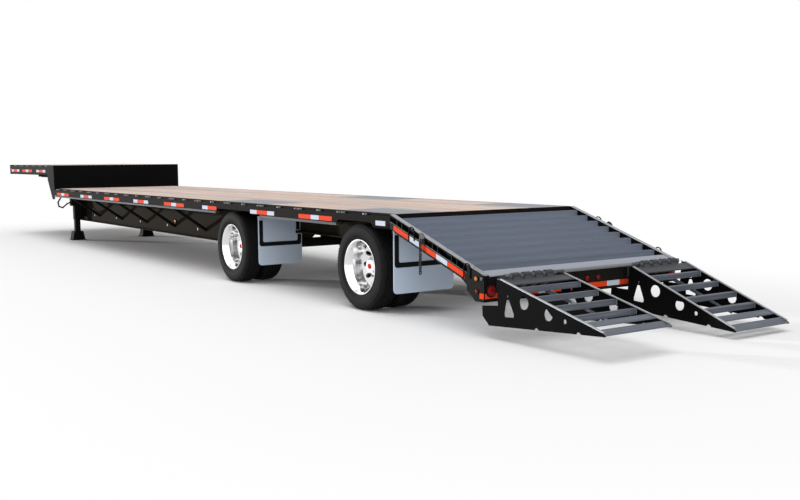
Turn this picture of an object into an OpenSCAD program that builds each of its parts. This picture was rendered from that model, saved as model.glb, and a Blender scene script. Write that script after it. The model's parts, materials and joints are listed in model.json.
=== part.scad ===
// Drop deck semi-trailer with a beavertail and two flip-over ramps.
// Millimetres. X forward, Y to the left, Z up, origin on the ground below the middle of the length.

/* [Overall] */
// Width over the rub rails
width = 2591; // [2450:1:2650]
// Height of the lower deck above the ground
deck_z = 1056; // [1030:1:1120]
// Height of the upper deck above the ground
upper_z = 1510; // [1450:1:1600]
// Length of the upper deck, nose to drop panel
upper_len = 3265; // [2900:1:3600]
// Length of the level lower deck
lower_len = 11445; // [10500:1:12500]
// Level length of the beavertail
tail_len = 1460; // [1380:1:1600]
// Height that the beavertail loses
tail_drop = 485; // [450:1:500]

/* [Rails] */
// Distance from the outer face of the rub rail to the rail web
rail_set = 56; // [40:1:80]
// Thickness of the rail web
rail_web = 6; // [4:1:10]
// Depth of the side rail
rail_h = 150; // [130:1:170]
// Inward top flange of the side rail
rail_flange = 30; // [20:1:50]
// Thickness of the rub rail
rub_t = 10; // [6:1:14]
// Depth of the rub rail
rub_h = 105; // [80:1:115]
// Rub rail below the deck
rub_drop = 26; // [15:1:40]
// Height of the winch track
track_h = 27; // [20:1:50]
// Depth of the rail over the tyres
well_rail = 100; // [80:1:110]
// Depth of the upper deck's side rail
up_rail_h = 200; // [150:1:220]
// Depth of the upper deck's rub rail
up_rub_h = 150; // [90:1:160]
// Spacing of stake pockets and spools
pocket_pitch = 470; // [400:1:600]
// Clear length of a stake pocket
pocket_len = 84; // [60:1:100]

/* [Deck and frame] */
// Thickness of the deck boards
plank_t = 35; // [28:1:45]
// Number of boards across the deck
n_boards = 17; // [13:2:21]
// Boards on each side that stop at the tyres
n_outer = 4; // [3:1:5]
// Gap between boards
board_gap = 2; // [1:0.5:4]
// Depth of the crossmembers
cross_h = 100; // [80:1:110]
// Flange width of the crossmembers
cross_w = 70; // [50:1:90]
// Spacing of the crossmembers
cross_pitch = 413; // [380:1:480]
// Main beam inside the middle of a dual pair
beam_set = 434; // [430:1:480]
// Flange width of the main beams
beam_w = 150; // [120:1:160]
// Thickness of the beam flanges
beam_tf = 16; // [10:1:20]
// Thickness of the beam webs
beam_tw = 10; // [8:1:14]
// Height of the deep beam's underside
deep_z = 390; // [360:1:450]
// Height of the beam's underside over the axles
shallow_z = 660; // [640:1:680]
// Height of the upper beams' underside
neck_z = 1240; // [1200:1:1260]
// Length of the deep beam ahead of the drop
neck_len = 640; // [560:1:700]
// Thickness of the drop panel
panel_t = 8; // [5:1:12]

/* [Running gear] */
// Rear axle ahead of the beavertail
axle_to_tail = 630; // [600:1:700]
// Distance between the axles
axle_spread = 3073; // [2900:1:3200]
// Diameter of the tyres
tyre_d = 928; // [900:1:950]
// Width of a tyre
tyre_w = 255; // [240:1:265]
// Diameter of the bead seats
bead_d = 571; // [560:1:580]
// Middle of a dual pair inside the outer face of the rub rail
wheel_set = 311.5; // [300:0.5:330]
// Distance between the tyres of one pair
dual = 312; // [300:1:325]
// Length of the tyre well ahead of an axle
well_fore = 400; // [350:1:500]
// Length of the tyre well behind the front axle
well_aft = 880; // [700:1:1000]
// Diameter of the axle tube
axle_d = 127; // [110:1:140]
// Mud flap behind its axle
flap_back = 610; // [560:1:618]

/* [Landing gear] */
// Landing legs ahead of the drop panel
leg_ahead = 450; // [400:1:520]
// Width of the outer leg
leg_w = 118; // [100:1:130]
// Width of the inner leg
leg_in = 100; // [80:1:101]
// Height of the outer leg's lower end
leg_z = 412; // [390:1:440]
// Length of the foot
foot_w = 276; // [240:1:380]
// Gap between the main beam's flange and the leg
leg_gap = 47; // [7:1:140]

/* [Beavertail and ramps] */
// Number of cleats on the beavertail
n_cleats = 8; // [6:1:8]
// First cleat behind the deck
cleat_start = 113; // [90:1:130]
// Spacing of the cleats
cleat_pitch = 160; // [140:1:165]
// Leg of a cleat
cleat_h = 84; // [60:1:90]
// Depth of the plate at the beavertail's end
end_plate = 105; // [80:1:120]
// Height of the tail's underside
low_z = 330; // [300:1:350]
// Ramp hinge behind the beavertail
hinge_off = 140; // [120:1:170]
// Ramp hinge above the beavertail's end
hinge_up = 0; // [-10:1:20]
// Length of a ramp behind its hinge
ramp_run = 1240; // [1150:1:1350]
// Depth of the ramp below its hinge
ramp_depth = 440; // [425:1:450]
// Width of one ramp
ramp_w = 790; // [740:1:810]
// Ramp inside the outer face of the rub rail
ramp_set = 43.5; // [36:0.5:60]
// Angle of the left ramp below level
left_angle = 14; // [13:0.5:19]
// Angle of the right ramp below level
right_angle = 21; // [17:0.5:22]
// Angle between the ramp's top and underside
wedge = 18; // [16:0.5:18.5]

/* [Hidden] */
hw = width / 2;
yc = hw - wheel_set;
beam_y = yc - beam_set;
y_web = hw - rail_set;
y_in = y_web - rail_web;
y_rub = hw - rub_t;
edge = y_in - rail_flange;
board_pitch = 2 * edge / n_boards;
y_well = edge - n_outer * board_pitch;
tips = [[ramp_run, top_w(ramp_run) - 8], [ramp_run, 6 - ramp_depth], [ramp_run - 12, -ramp_depth]];
total = upper_len + lower_len + tail_len + hinge_off + max(reach(left_angle), reach(right_angle));
x_nose = total / 2;
x_wall = x_nose - upper_len;
x_tail = x_wall - lower_len;
x_te = x_tail - tail_len;
hinge_x = x_te - hinge_off;
z_te = deck_z - tail_drop;
hinge_z = z_te + hinge_up;
slope = tail_drop / tail_len;
x_rear = x_tail + axle_to_tail;
x_front = x_rear + axle_spread;
axle_z = tyre_d / 2;
cross_top = deck_z - plank_t;
beam_top = cross_top - cross_h;
up_cross_top = upper_z - plank_t;
up_beam_top = up_cross_top - cross_h;
end_t = 8;
wells = [[x_front - well_aft, x_front + well_fore], [x_tail, x_rear + well_fore]];
well_ends = [wells[0][0] - cross_w / 2, wells[0][1] + cross_w / 2, wells[1][1] + cross_w / 2];
x_bf = x_wall + neck_len;
x_t1 = x_front + 700;
x_t2 = x_front + 1150;
x_leg = x_wall + leg_ahead;
leg_y = beam_y + beam_w / 2 + leg_gap;
shaft_z = beam_top - 121;
nose_t = 60;
side_front = 420;
spindle_r = 45;
pin_r = 16;
ramp_out = hw - ramp_set;
ramp_in = ramp_out - ramp_w;
ramp_t = 10;
foot_t = 12;

n_cross = floor((x_wall - 30 - x_tail - 60) / cross_pitch) + 1;
cross_x = [for (k = [0 : n_cross - 1]) x_wall - 30 - cross_pitch * k];
strut_x = [for (k = [1 : 3 : n_cross - 1]) if (cross_x[k] > x_t2 + 120) cross_x[k]];
n_up = floor((upper_len - nose_t - 100) / cross_pitch);
tank_x = cross_x[15];

// Height of the ramp's top edge, u behind the hinge
function top_w(u) = -14 - u * tan(wedge);
// Distance that a ramp reaches behind its hinge
function reach(a) = max([for (q = tips) q[0] * cos(wedge - a) - q[1] * sin(wedge - a)]);
// Height of the beavertail's rails
function zt(x) = deck_z + (x - x_tail) * slope;
function in_well(x) = (x > wells[0][0] && x < wells[0][1]) || x < wells[1][1];
function near_end(x) = min([for (e = well_ends) abs(e - x)]) < cross_w + 20;

// Shared shapes

// A block given by its two corners
module span(a, b) {
  translate(a) cube([b[0] - a[0], b[1] - a[1], b[2] - a[2]]);
}

// An outline in X and Z, thick along Y
module plate_xz(pts, y0, y1) {
  translate([0, y1, 0]) rotate([90, 0, 0]) linear_extrude(y1 - y0) polygon(pts);
}

// An outline in Y and Z, thick along X
module plate_yz(pts, x0, x1) {
  translate([x0, 0, 0]) rotate([90, 0, 90]) linear_extrude(x1 - x0) polygon(pts);
}

// The same on both sides
module both() {
  children();
  mirror([0, 1, 0]) children();
}

// A round bar along Y
module bar_y(x, z, r, y0, y1) {
  translate([x, y0, z]) rotate([-90, 0, 0]) cylinder(r = r, h = y1 - y0, $fn = 48);
}

// A round bar along X
module bar_x(y, z, r, x0, x1) {
  translate([x0, y, z]) rotate([0, 90, 0]) cylinder(r = r, h = x1 - x0, $fn = 48);
}

// A round bar from point to point
module rod(a, b, r) {
  d = b - a;
  len = norm(d);
  translate(a) rotate([0, acos(d[2] / len), atan2(d[1], d[0])]) cylinder(r = r, h = len, $fn = 32);
}

// A bent round bar through a list of points, with a ball at each bend
module bent_rod(pts, r) {
  for (k = [0 : len(pts) - 2]) rod(pts[k], pts[k + 1], r);
  for (k = [1 : len(pts) - 2]) translate(pts[k]) sphere(r = r * 1.15, $fn = 32);
}

// An I section that runs across
module i_bar(x, half, z_top, h, w) {
  tw = 6;
  tf = 8;
  plate_xz([[x - w / 2, z_top - h], [x + w / 2, z_top - h], [x + w / 2, z_top - h + tf], [x + tw / 2, z_top - h + tf],
    [x + tw / 2, z_top - tf], [x + w / 2, z_top - tf], [x + w / 2, z_top], [x - w / 2, z_top],
    [x - w / 2, z_top - tf], [x - tw / 2, z_top - tf], [x - tw / 2, z_top - h + tf],
    [x - w / 2, z_top - h + tf]], -half, half);
}

// Frame

module main_beam() {
  difference() {
    union() {
      plate_xz([[x_tail, beam_top], [x_tail, shallow_z], [x_t1, shallow_z], [x_t2, deep_z], [x_bf - 60, deep_z],
        [x_bf, deep_z + 60], [x_bf, beam_top]], beam_y - beam_tw / 2, beam_y + beam_tw / 2);
      span([x_tail, beam_y - beam_w / 2, beam_top - beam_tf], [x_bf, beam_y + beam_w / 2, beam_top]);
      plate_xz([[x_tail, shallow_z], [x_t1, shallow_z], [x_t2, deep_z], [x_bf - 60, deep_z], [x_bf, deep_z + 60],
        [x_bf, deep_z + 60 + beam_tf * 1.4], [x_bf - 60 - beam_tf * 0.4, deep_z + beam_tf],
        [x_t2 + beam_tf * 0.3, deep_z + beam_tf], [x_t1 + beam_tf * 0.3, shallow_z + beam_tf],
        [x_tail, shallow_z + beam_tf]], beam_y - beam_w / 2, beam_y + beam_w / 2);
    }
    for (x = strut_x) bar_y(x + 330, deep_z + 125, 25, beam_y - beam_w, beam_y + beam_w);
    bar_y(x_leg, shaft_z, 32, beam_y - beam_w, beam_y + beam_w);
  }
}

module main_beams() {
  color([0.1, 0.1, 0.1]) both() main_beam();
}

module neck_beams() {
  y0 = beam_y - beam_w / 2;
  y1 = beam_y + beam_w / 2;
  a = x_wall + panel_t + 2;
  color([0.1, 0.1, 0.1]) both() {
    plate_xz([[a, beam_top], [x_bf, beam_top], [x_bf + 130, neck_z], [a, neck_z]],
      beam_y - beam_tw / 2, beam_y + beam_tw / 2);
    plate_xz([[x_bf - beam_tf, beam_top], [x_bf, beam_top], [x_bf + 130, neck_z], [x_bf + 130 - beam_tf, neck_z]],
      y0, y1);
    span([a, y0, beam_top], [a + beam_tf, y1, neck_z]);
  }
}

module upper_beams() {
  y0 = beam_y - beam_w / 2;
  y1 = beam_y + beam_w / 2;
  a = x_wall + panel_t + 2;
  b = x_nose - nose_t - 10;
  color([0.1, 0.1, 0.1]) both() {
    span([a, y0, neck_z], [b, y1, neck_z + beam_tf]);
    span([a, y0, up_beam_top - beam_tf], [b, y1, up_beam_top]);
    span([a, beam_y - beam_tw / 2, neck_z], [b, beam_y + beam_tw / 2, up_beam_top]);
  }
}

module crossmembers() {
  color([0.1, 0.1, 0.1]) {
    for (x = cross_x) {
      if (!near_end(x)) i_bar(x, in_well(x) ? y_well - 4 : y_in, cross_top, cross_h, cross_w);
    }
    for (x = well_ends) i_bar(x, y_in, cross_top, cross_h, cross_w);
    for (k = [0 : n_up - 1]) {
      i_bar(x_wall + panel_t + 50 + (k + 0.5) * (upper_len - nose_t - 100) / n_up, y_in, up_cross_top, cross_h, cross_w);
    }
    span([x_tail, -y_in, beam_top], [x_tail + end_t, y_in, deck_z - 8]);
    span([x_tail, -edge, deck_z - 9], [x_tail + end_t, edge, deck_z]);
  }
}

module side_struts() {
  y0 = beam_y + beam_tw / 2;
  y1 = y_in - 62;
  color([0.12, 0.1, 0.1]) both() for (x = strut_x) {
    plate_yz([[y0, deep_z + 105], [y1, beam_top], [y1 - 72, beam_top], [y0, deep_z + 155]], x - 27, x + 27);
  }
}

// One side rail: web, top flange and, where given, the deeper lengths
module rail(x0, x1, top, deep, h) {
  span([x0, y_in, top - well_rail], [x1, y_web, top]);
  span([x0, edge, top - 8], [x1, y_in + 1, top]);
  for (d = deep) {
    plate_xz([[d[0] - 50, top - well_rail + 1], [d[0], top - h], [d[1], top - h],
      [d[1], top - well_rail + 1]], y_in, y_web);
    span([d[0] + 1, y_in - 50, top - h], [d[1], y_in + 1, top - h + 6]);
  }
}

rail_deep = [[wells[0][1], x_wall], [wells[1][1], wells[0][0]]];

module side_rails() {
  color([0.1, 0.1, 0.1]) both() rail(x_tail, x_wall, deck_z, rail_deep, rail_h);
}

module upper_rails() {
  deep = [[x_wall + panel_t + 51, x_nose - nose_t]];
  color([0.1, 0.1, 0.1]) both() rail(x_wall + panel_t, x_nose - nose_t, upper_z, deep, up_rail_h);
}

module rub_rails() {
  color([0.12, 0.1, 0.1]) both() {
    span([x_tail, y_rub, deck_z - well_rail + 2], [x_wall, hw, deck_z - rub_drop]);
    for (d = rail_deep) {
      plate_xz([[d[0] - 50, deck_z - well_rail + 3], [d[0], deck_z - rub_drop - rub_h], [d[1], deck_z - rub_drop - rub_h],
        [d[1], deck_z - well_rail + 3]], y_rub, hw);
    }
    span([x_wall + side_front, y_rub, upper_z - rub_drop - up_rub_h], [x_nose - nose_t, hw, upper_z - rub_drop]);
  }
}

// One stake pocket: two plates between the rail web and the rub rail
module pocket(x, top) {
  for (s = [-1, 1]) {
    translate([x + s * (pocket_len / 2 + 4) - 4, y_web, top - well_rail + 2]) cube([8, y_rub - y_web, well_rail - 12]);
  }
}

// One spool
module spool(x, top) {
  bar_y(x, top - 62, 22, y_web, y_rub);
  span([x - 8, y_web, top - 62], [x + 8, y_rub, top - 10]);
}

n_pockets = floor((lower_len - 127 - 70) / pocket_pitch);
n_up_pockets = floor((upper_len - side_front - nose_t - 120) / pocket_pitch);

module stake_pockets() {
  color([0.2, 0.2, 0.21]) both() {
    for (k = [0 : n_pockets]) {
      if (k % 2 == 0) pocket(x_wall - 127 - k * pocket_pitch, deck_z);
      else spool(x_wall - 127 - k * pocket_pitch, deck_z);
    }
    for (k = [0 : n_up_pockets]) {
      if (k % 2 == 0) pocket(x_wall + side_front + 110 + k * pocket_pitch, upper_z);
      else spool(x_wall + side_front + 110 + k * pocket_pitch, upper_z);
    }
  }
}

// A winch track: a channel that opens downward with two lips
module winch_track(x0, x1, top) {
  z1 = top - rub_drop - rub_h - 5;
  z0 = z1 - track_h;
  plate_yz([[y_web, z0], [y_web + 18, z0], [y_web + 18, z0 + 5], [y_web + 5, z0 + 5], [y_web + 5, z1 - 6],
    [hw - 6, z1 - 6], [hw - 6, z0 + 5], [hw - 18, z0 + 5], [hw - 18, z0], [hw, z0], [hw, z1], [y_web, z1]], x0, x1);
}

module winch_tracks() {
  color([0.45, 0.45, 0.46]) both() {
    for (d = rail_deep) winch_track(d[0], d[1], deck_z);
  }
}

// Decks

module board(i, x0, x1, top) {
  y0 = -edge + i * board_pitch;
  span([x0, y0 + board_gap / 2, top - plank_t], [x1, y0 + board_pitch - board_gap / 2, top]);
}

module deck_boards() {
  lip = cross_w / 2;
  color([0.62, 0.5, 0.42]) for (i = [0 : n_boards - 1]) {
    if (i >= n_outer && i < n_boards - n_outer) {
      board(i, x_tail + end_t, x_wall, deck_z);
    } else {
      board(i, wells[0][1] + lip + 1, x_wall, deck_z);
      board(i, wells[1][1] + lip + 1, wells[0][0] - lip - 1, deck_z);
    }
  }
}

module upper_boards() {
  color([0.62, 0.5, 0.42]) for (i = [0 : n_boards - 1]) board(i, x_wall + panel_t, x_nose - nose_t, upper_z);
}

// Steel deck plates over the tyres, with bars under their ends
module wheel_plates() {
  lip = cross_w / 2;
  color([0.42, 0.42, 0.43]) both() {
    span([wells[0][0] - lip, y_well + 1, deck_z - 8], [wells[0][1] + lip, edge - 1, deck_z]);
    span([wells[0][0] - lip, y_well + 1, cross_top], [wells[0][0], edge - 1, deck_z - 7]);
    span([wells[0][1], y_well + 1, cross_top], [wells[0][1] + lip, edge - 1, deck_z - 7]);
    span([wells[1][0] + end_t, y_well + 1, deck_z - 8], [wells[1][1] + lip, edge - 1, deck_z]);
    span([wells[1][1], y_well + 1, cross_top], [wells[1][1] + lip, edge - 1, deck_z - 7]);
  }
}

module drop_panel() {
  color([0.09, 0.09, 0.09]) span([x_wall, -(hw - 8), cross_top], [x_wall + panel_t, hw - 8, upper_z]);
}

module drop_side_plates() {
  color([0.12, 0.1, 0.1]) both() {
    plate_xz([[x_wall, deck_z - 209], [x_wall + 140, deck_z - 209], [x_wall + side_front, neck_z - 13], [x_wall + side_front, upper_z],
      [x_wall, upper_z]], hw - 8, hw);
    span([x_wall + panel_t, y_web, upper_z - 60], [x_wall + panel_t + 8, hw - 7, upper_z]);
    span([x_wall + side_front - 8, y_web, upper_z - 140], [x_wall + side_front, hw - 7, upper_z]);
  }
}

// Nose

module nose_rail() {
  z0 = upper_z - up_rail_h;
  nose_half = beam_y + beam_w;
  color([0.1, 0.1, 0.1]) {
    plate_xz([[x_nose - nose_t, z0], [x_nose, z0], [x_nose, upper_z], [x_nose - nose_t, upper_z],
      [x_nose - nose_t, upper_z - 10], [x_nose - 10, upper_z - 10], [x_nose - 10, z0 + 10], [x_nose - nose_t, z0 + 10]],
      -hw, hw);
    span([x_nose - nose_t - 10, -nose_half, neck_z], [x_nose - nose_t, nose_half, up_beam_top]);
    span([x_nose - nose_t - 10, -nose_half, z0], [x_nose - nose_t + 5, nose_half, z0 + 10]);
  }
}

module nose_couplings() {
  x0 = x_nose - nose_t;
  z = neck_z + 26;
  color([0.5, 0.5, 0.5]) {
    for (s = [-1, 1]) {
      bar_x(s * 160, z, 18, x0, x0 + 22);
      bar_x(s * 160, z, 32, x0 + 21, x0 + 44);
      span([x0 + 21, s * 160 - 14, z - 52], [x0 + 40, s * 160 + 14, z]);
    }
    bar_x(0, z, 40, x0, x0 + 46);
  }
}

coupler_len = 1500;

module coupler_plate() {
  half = beam_y + 90;
  x0 = x_nose - coupler_len;
  x1 = x_nose - nose_t - 10;
  color([0.14, 0.14, 0.14]) {
    span([x0, -half, neck_z - 10], [x1, half, neck_z]);
    both() span([x0, beam_y + beam_w / 2 + 1, neck_z - 1], [x0 + 10, half, neck_z + 40]);
  }
}

pin_x = x_nose - 760;

module kingpin() {
  color([0.5, 0.5, 0.5]) translate([pin_x, 0, neck_z - 10 - 84]) rotate_extrude($fn = 96)
    polygon([[0, 0], [31, 0], [35.7, 5], [35.7, 21], [25.4, 24], [25.4, 54], [36.5, 58], [36.5, 84], [0, 84]]);
}

// Landing gear

module landing_legs() {
  wall = (leg_w - leg_in) / 2 - 0.3;
  color([0.1, 0.1, 0.1]) both() {
    difference() {
      span([x_leg - leg_w / 2, leg_y, leg_z], [x_leg + leg_w / 2, leg_y + leg_w, beam_top - 20]);
      span([x_leg - leg_w / 2 + wall, leg_y + wall, leg_z - 1],
        [x_leg + leg_w / 2 - wall, leg_y + leg_w - wall, beam_top - 60]);
    }
    span([x_leg - 95, leg_y - 12, deep_z + 80], [x_leg + 95, leg_y, beam_top - 40]);
    for (s = [-1, 1]) {
      span([x_leg + s * 70 - 6, beam_y + beam_tw / 2, deep_z + 80], [x_leg + s * 70 + 6, leg_y - 11, beam_top - 40]);
    }
  }
}

module landing_feet() {
  yl = leg_y + leg_w / 2;
  color([0.1, 0.1, 0.1]) both() {
    span([x_leg - leg_in / 2, yl - leg_in / 2, 60], [x_leg + leg_in / 2, yl + leg_in / 2, leg_z + 260]);
    span([x_leg - 112, yl - foot_w / 2, 0], [x_leg + 112, yl + foot_w / 2, foot_t]);
    plate_yz([[yl - foot_w / 2 + 12, foot_t - 1], [yl + foot_w / 2 - 12, foot_t - 1], [yl + 112, 80], [yl + 92, 175],
      [yl - 92, 175], [yl - 112, 80]], x_leg - 90, x_leg + 90);
  }
}

module landing_drive() {
  y1 = leg_y + leg_w;
  color([0.1, 0.1, 0.1]) {
    bar_y(x_leg, shaft_z, 19, -(leg_y - 12), leg_y - 12);
    span([x_leg - 52, y1, shaft_z - 110], [x_leg + 52, y1 + 62, shaft_z + 50]);
    bent_rod([[x_leg, y1 + 50, shaft_z - 35], [x_leg, y1 + 130, shaft_z - 65], [x_leg - 30, y1 + 230, shaft_z - 140],
      [x_leg - 120, y1 + 330, shaft_z - 110], [x_leg - 300, y1 + 400, shaft_z - 20],
      [x_wall - 130, y_in - 25, deck_z - rail_h - 14.5]], 14);
  }
}

// Beavertail

module tail_rail() {
  block = 240;
  plate_xz([[x_tail, deck_z], [x_te, z_te], [x_te, low_z], [x_te + 120, low_z], [x_te + 400, zt(x_te + 400) - 190],
    [x_tail, deck_z - 190]], y_in, y_web);
  plate_xz([[x_tail, deck_z], [x_te, z_te], [x_te, z_te - 12], [x_tail, deck_z - 12]], y_in, hw);
  plate_xz([[x_tail, deck_z - 75], [x_te + block - 1, zt(x_te + block - 1) - 75], [x_te + block - 1, zt(x_te + block - 1) - 145],
    [x_tail, deck_z - 145]], y_rub, hw);
  plate_xz([[x_te, z_te], [x_te + block, zt(x_te + block)], [x_te + block, low_z + 90], [x_te + 120, low_z],
    [x_te, low_z]], y_in, hw);
  for (k = [0 : 3]) {
    x = x_tail - 110 - k * 290;
    span([x - 5, y_web - 1, zt(x) - 140], [x + 5, y_rub + 1, zt(x) - 8]);
    span([x - 85, y_web - 1, zt(x - 80) - 140], [x - 75, y_rub + 1, zt(x - 80) - 8]);
  }
}

// A rope hook: a bent bar on the outside of the rail
module rope_hook(x) {
  r = 45;
  bar = 7;
  y = hw + 4;
  for (s = [-1, 1]) translate([x + s * r, y, zt(x) - 120]) cylinder(r = bar, h = 90, $fn = 32);
  translate([x, y, zt(x) - 30]) rotate([90, 0, 0]) rotate_extrude(angle = 180, $fn = 48)
    translate([r, 0]) circle(r = bar, $fn = 32);
}

module tail_rails() {
  color([0.12, 0.12, 0.12]) both() {
    tail_rail();
    for (d = [372, 1226]) rope_hook(x_tail - d);
  }
}

cleat_drop = 4;

module tail_cleats() {
  color([0.45, 0.45, 0.46]) {
    for (k = [0 : n_cleats - 1]) {
      x = x_tail - cleat_start - k * cleat_pitch;
      z = zt(x) - cleat_drop;
      plate_xz([[x, z], [x, z - cleat_h], [x + 8, z - cleat_h], [x + 8, z - 8], [x + 60, z - 8], [x + 60, z]],
        -y_in, y_in);
    }
    low = cleat_drop + 10;
    plate_xz([[x_te, z_te - cleat_drop], [x_te, z_te - low], [x_te + end_plate, zt(x_te + end_plate) - low],
      [x_te + end_plate, zt(x_te + end_plate) - cleat_drop]], -y_in, y_in);
  }
}

module tail_beams() {
  drop = cleat_drop + cleat_h + 8 * slope;
  x1 = x_te + 90;
  color([0.1, 0.1, 0.1]) both() for (y = [beam_y, y_in - 200]) {
    plate_xz([[x_tail, deck_z - drop], [x1, zt(x1) - drop], [x1, low_z + 10], [x1 + 200, low_z + 70],
      [x_tail, shallow_z + 90]], y - 6, y + 6);
  }
}

module tail_bumper() {
  z1 = z_te - cleat_drop - 11;
  color([0.1, 0.1, 0.1]) plate_xz([[x_te, low_z], [x_te + 90, low_z], [x_te + 90, low_z + 12], [x_te + 10, low_z + 12],
    [x_te + 10, z1 - 12], [x_te + 90, z1 - 12], [x_te + 90, z1], [x_te, z1]], -y_in, y_in);
}

// Ramp hinges: lugs on the rear crossmember and a rod
lug_t = 40;
lug_in = 125;
n_lugs = 5;
lug_y = [for (k = [0 : n_lugs - 1]) ramp_in + lug_in + k * (ramp_w - 2 * lug_in) / (n_lugs - 1)];

module ramp_hinges() {
  color([0.3, 0.3, 0.31]) both() {
    for (y = lug_y) {
      plate_xz([[x_te, z_te - 30], [x_te, z_te - 140], [x_te - 40, z_te - 120], [hinge_x - 18, hinge_z - 32],
        [hinge_x - 30, hinge_z - 8], [hinge_x - 22, hinge_z + 18], [hinge_x + 22, hinge_z + 18]],
        y - lug_t / 2, y + lug_t / 2);
    }
  }
  rod_end = lug_y[n_lugs - 1] + lug_t / 2 + 6;
  color([0.3, 0.3, 0.31]) bar_y(hinge_x, hinge_z, pin_r, -rod_end, rod_end);
}

// One ramp, drawn with its underside level and turned about the hinge.
// Here u is behind the hinge and w is above it.

module ramp_turn(angle) {
  translate([hinge_x, 0, hinge_z]) rotate([0, wedge - angle, 0]) mirror([1, 0, 0]) children();
}

module ramp_plate(y0) {
  b = -ramp_depth;
  difference() {
    plate_xz([[-20, top_w(-20)], [ramp_run - 25, top_w(ramp_run - 25)], [ramp_run, top_w(ramp_run) - 8], [ramp_run, b + 6],
      [ramp_run - 12, b], [-150, b], [-235, b + 85], [-235, b + 177], [-20, b + 187]], y0, y0 + ramp_t);
    bar_y(0, 0, pin_r + 7, y0 - 1, y0 + ramp_t + 1);
    bar_y(111, -165, 12, y0 - 1, y0 + ramp_t + 1);
    plate_xz([[90, -190], [125, -190], [185, -320], [180, -350], [60, -350], [55, -320]], y0 - 1, y0 + ramp_t + 1);
    bar_y(316, -215, 58, y0 - 1, y0 + ramp_t + 1);
    bar_y(610, -300, 52, y0 - 1, y0 + ramp_t + 1);
    bar_y(800, -345, 20, y0 - 1, y0 + ramp_t + 1);
    bar_y(459, b - 14, 32, y0 - 1, y0 + ramp_t + 1);
    bar_y(947, b - 14, 32, y0 - 1, y0 + ramp_t + 1);
  }
}

module ramp_plates(angle) {
  ramp_turn(angle) {
    ramp_plate(ramp_in);
    ramp_plate(ramp_out - ramp_t);
  }
}

bar_u = [230, 445, 660, 875];

module ramp_bars(angle) {
  y0 = ramp_in + ramp_t;
  y1 = ramp_out - ramp_t;
  ramp_turn(angle) {
    for (u = bar_u) {
      w = top_w(u) - 2;
      plate_xz([[u, w], [u, w - 50], [u - 7, w - 50], [u - 7, w - 7], [u - 50, w - 7], [u - 50, w]], y0, y1);
    }
    plate_xz([[1080, top_w(1080) - 2], [1080, top_w(1080) - 12], [1000, top_w(1000) - 12], [1000, top_w(1000) - 2]],
      y0, y1);
    plate_xz([[1150, top_w(1150) - 2], [ramp_run - 5, top_w(ramp_run) - 9], [ramp_run - 5, top_w(ramp_run) - 17],
      [1150, top_w(1150) - 12]], y0, y1);
    plate_xz([[36, top_w(36) - 2], [150, top_w(150) - 2], [150, top_w(150) - 12], [36, top_w(36) - 12]], y0, y1);
    for (k = [0 : n_lugs - 2]) {
      a = lug_y[k] + lug_t / 2 + 6;
      c = lug_y[k + 1] - lug_t / 2 - 6;
      difference() {
        union() {
          bar_y(0, 0, 28, a, c);
          plate_xz([[22, -16], [22, -3], [40, top_w(40) - 2], [40, top_w(40) - 14]], a, c);
        }
        bar_y(0, 0, pin_r + 0.5, a - 1, c + 1);
      }
    }
    for (y = [ramp_in - 6, ramp_out - ramp_t - 8]) {
      plate_xz([[26, top_w(26)], [ramp_run - 25, top_w(ramp_run - 25)], [ramp_run - 25, top_w(ramp_run - 25) + 8],
        [26, top_w(26) + 8]], y, y + 24);
    }
    low = 46;
    plate_xz([[170, top_w(170) - low], [900, top_w(900) - low], [900, top_w(900) - low - 16], [170, top_w(170) - low - 40]],
      (y0 + y1) / 2 - 4, (y0 + y1) / 2 + 4);
  }
}

module ramp_left_plates() {
  color([0.1, 0.1, 0.1]) ramp_plates(left_angle);
}

module ramp_left_bars() {
  color([0.45, 0.45, 0.46]) ramp_bars(left_angle);
}

module ramp_right_plates() {
  color([0.1, 0.1, 0.1]) mirror([0, 1, 0]) ramp_plates(right_angle);
}

module ramp_right_bars() {
  color([0.45, 0.45, 0.46]) mirror([0, 1, 0]) ramp_bars(right_angle);
}

// Chains that hang from studs on the beavertail's rails
wire = 5.5;
link_l = 50;
link_w = 34;
n_links = 12;
stud_r = 5;
chain_x = x_tail - 545;
bracket_t = 8;
chain_y = hw + bracket_t + link_w / 2 + 1;
link_step = link_l - 4 * wire - 0.3;

// One link, long along Z and flat along Y
module link() {
  r = link_w / 2 - wire;
  s = link_l - link_w;
  for (k = [-1, 1]) translate([k * r, 0, -s / 2]) cylinder(r = wire, h = s, $fn = 24);
  for (m = [0, 1]) mirror([0, 0, m]) translate([0, 0, s / 2]) rotate([90, 0, 0])
    rotate_extrude(angle = 180, $fn = 48) translate([r, 0]) circle(r = wire, $fn = 24);
}

module ramp_chains() {
  stud_z = zt(chain_x) - 42;
  first = stud_z + stud_r + 0.3 - (link_l / 2 - 2 * wire);
  color([0.2, 0.2, 0.21]) both() {
    plate_xz([[chain_x - 38, zt(chain_x - 38) - 78], [chain_x + 38, zt(chain_x + 38) - 78],
      [chain_x + 38, zt(chain_x + 38) + 6], [chain_x + 16, zt(chain_x + 16) + 24],
      [chain_x - 16, zt(chain_x - 16) + 24], [chain_x - 38, zt(chain_x - 38) + 6]], hw, hw + bracket_t);
    bar_y(chain_x, stud_z, stud_r, hw + bracket_t - 1, chain_y + 8);
    bar_y(chain_x, stud_z, stud_r + 5, chain_y + 8, chain_y + 13);
    for (k = [0 : n_links - 1]) {
      translate([chain_x, chain_y, first - k * link_step]) rotate([0, 0, 90 * (k % 2)]) link();
    }
  }
}

// Lamps

module lamp_y(x, z, r, y0, t) {
  bar_y(x, z, r, y0, y0 + t);
}

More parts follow.
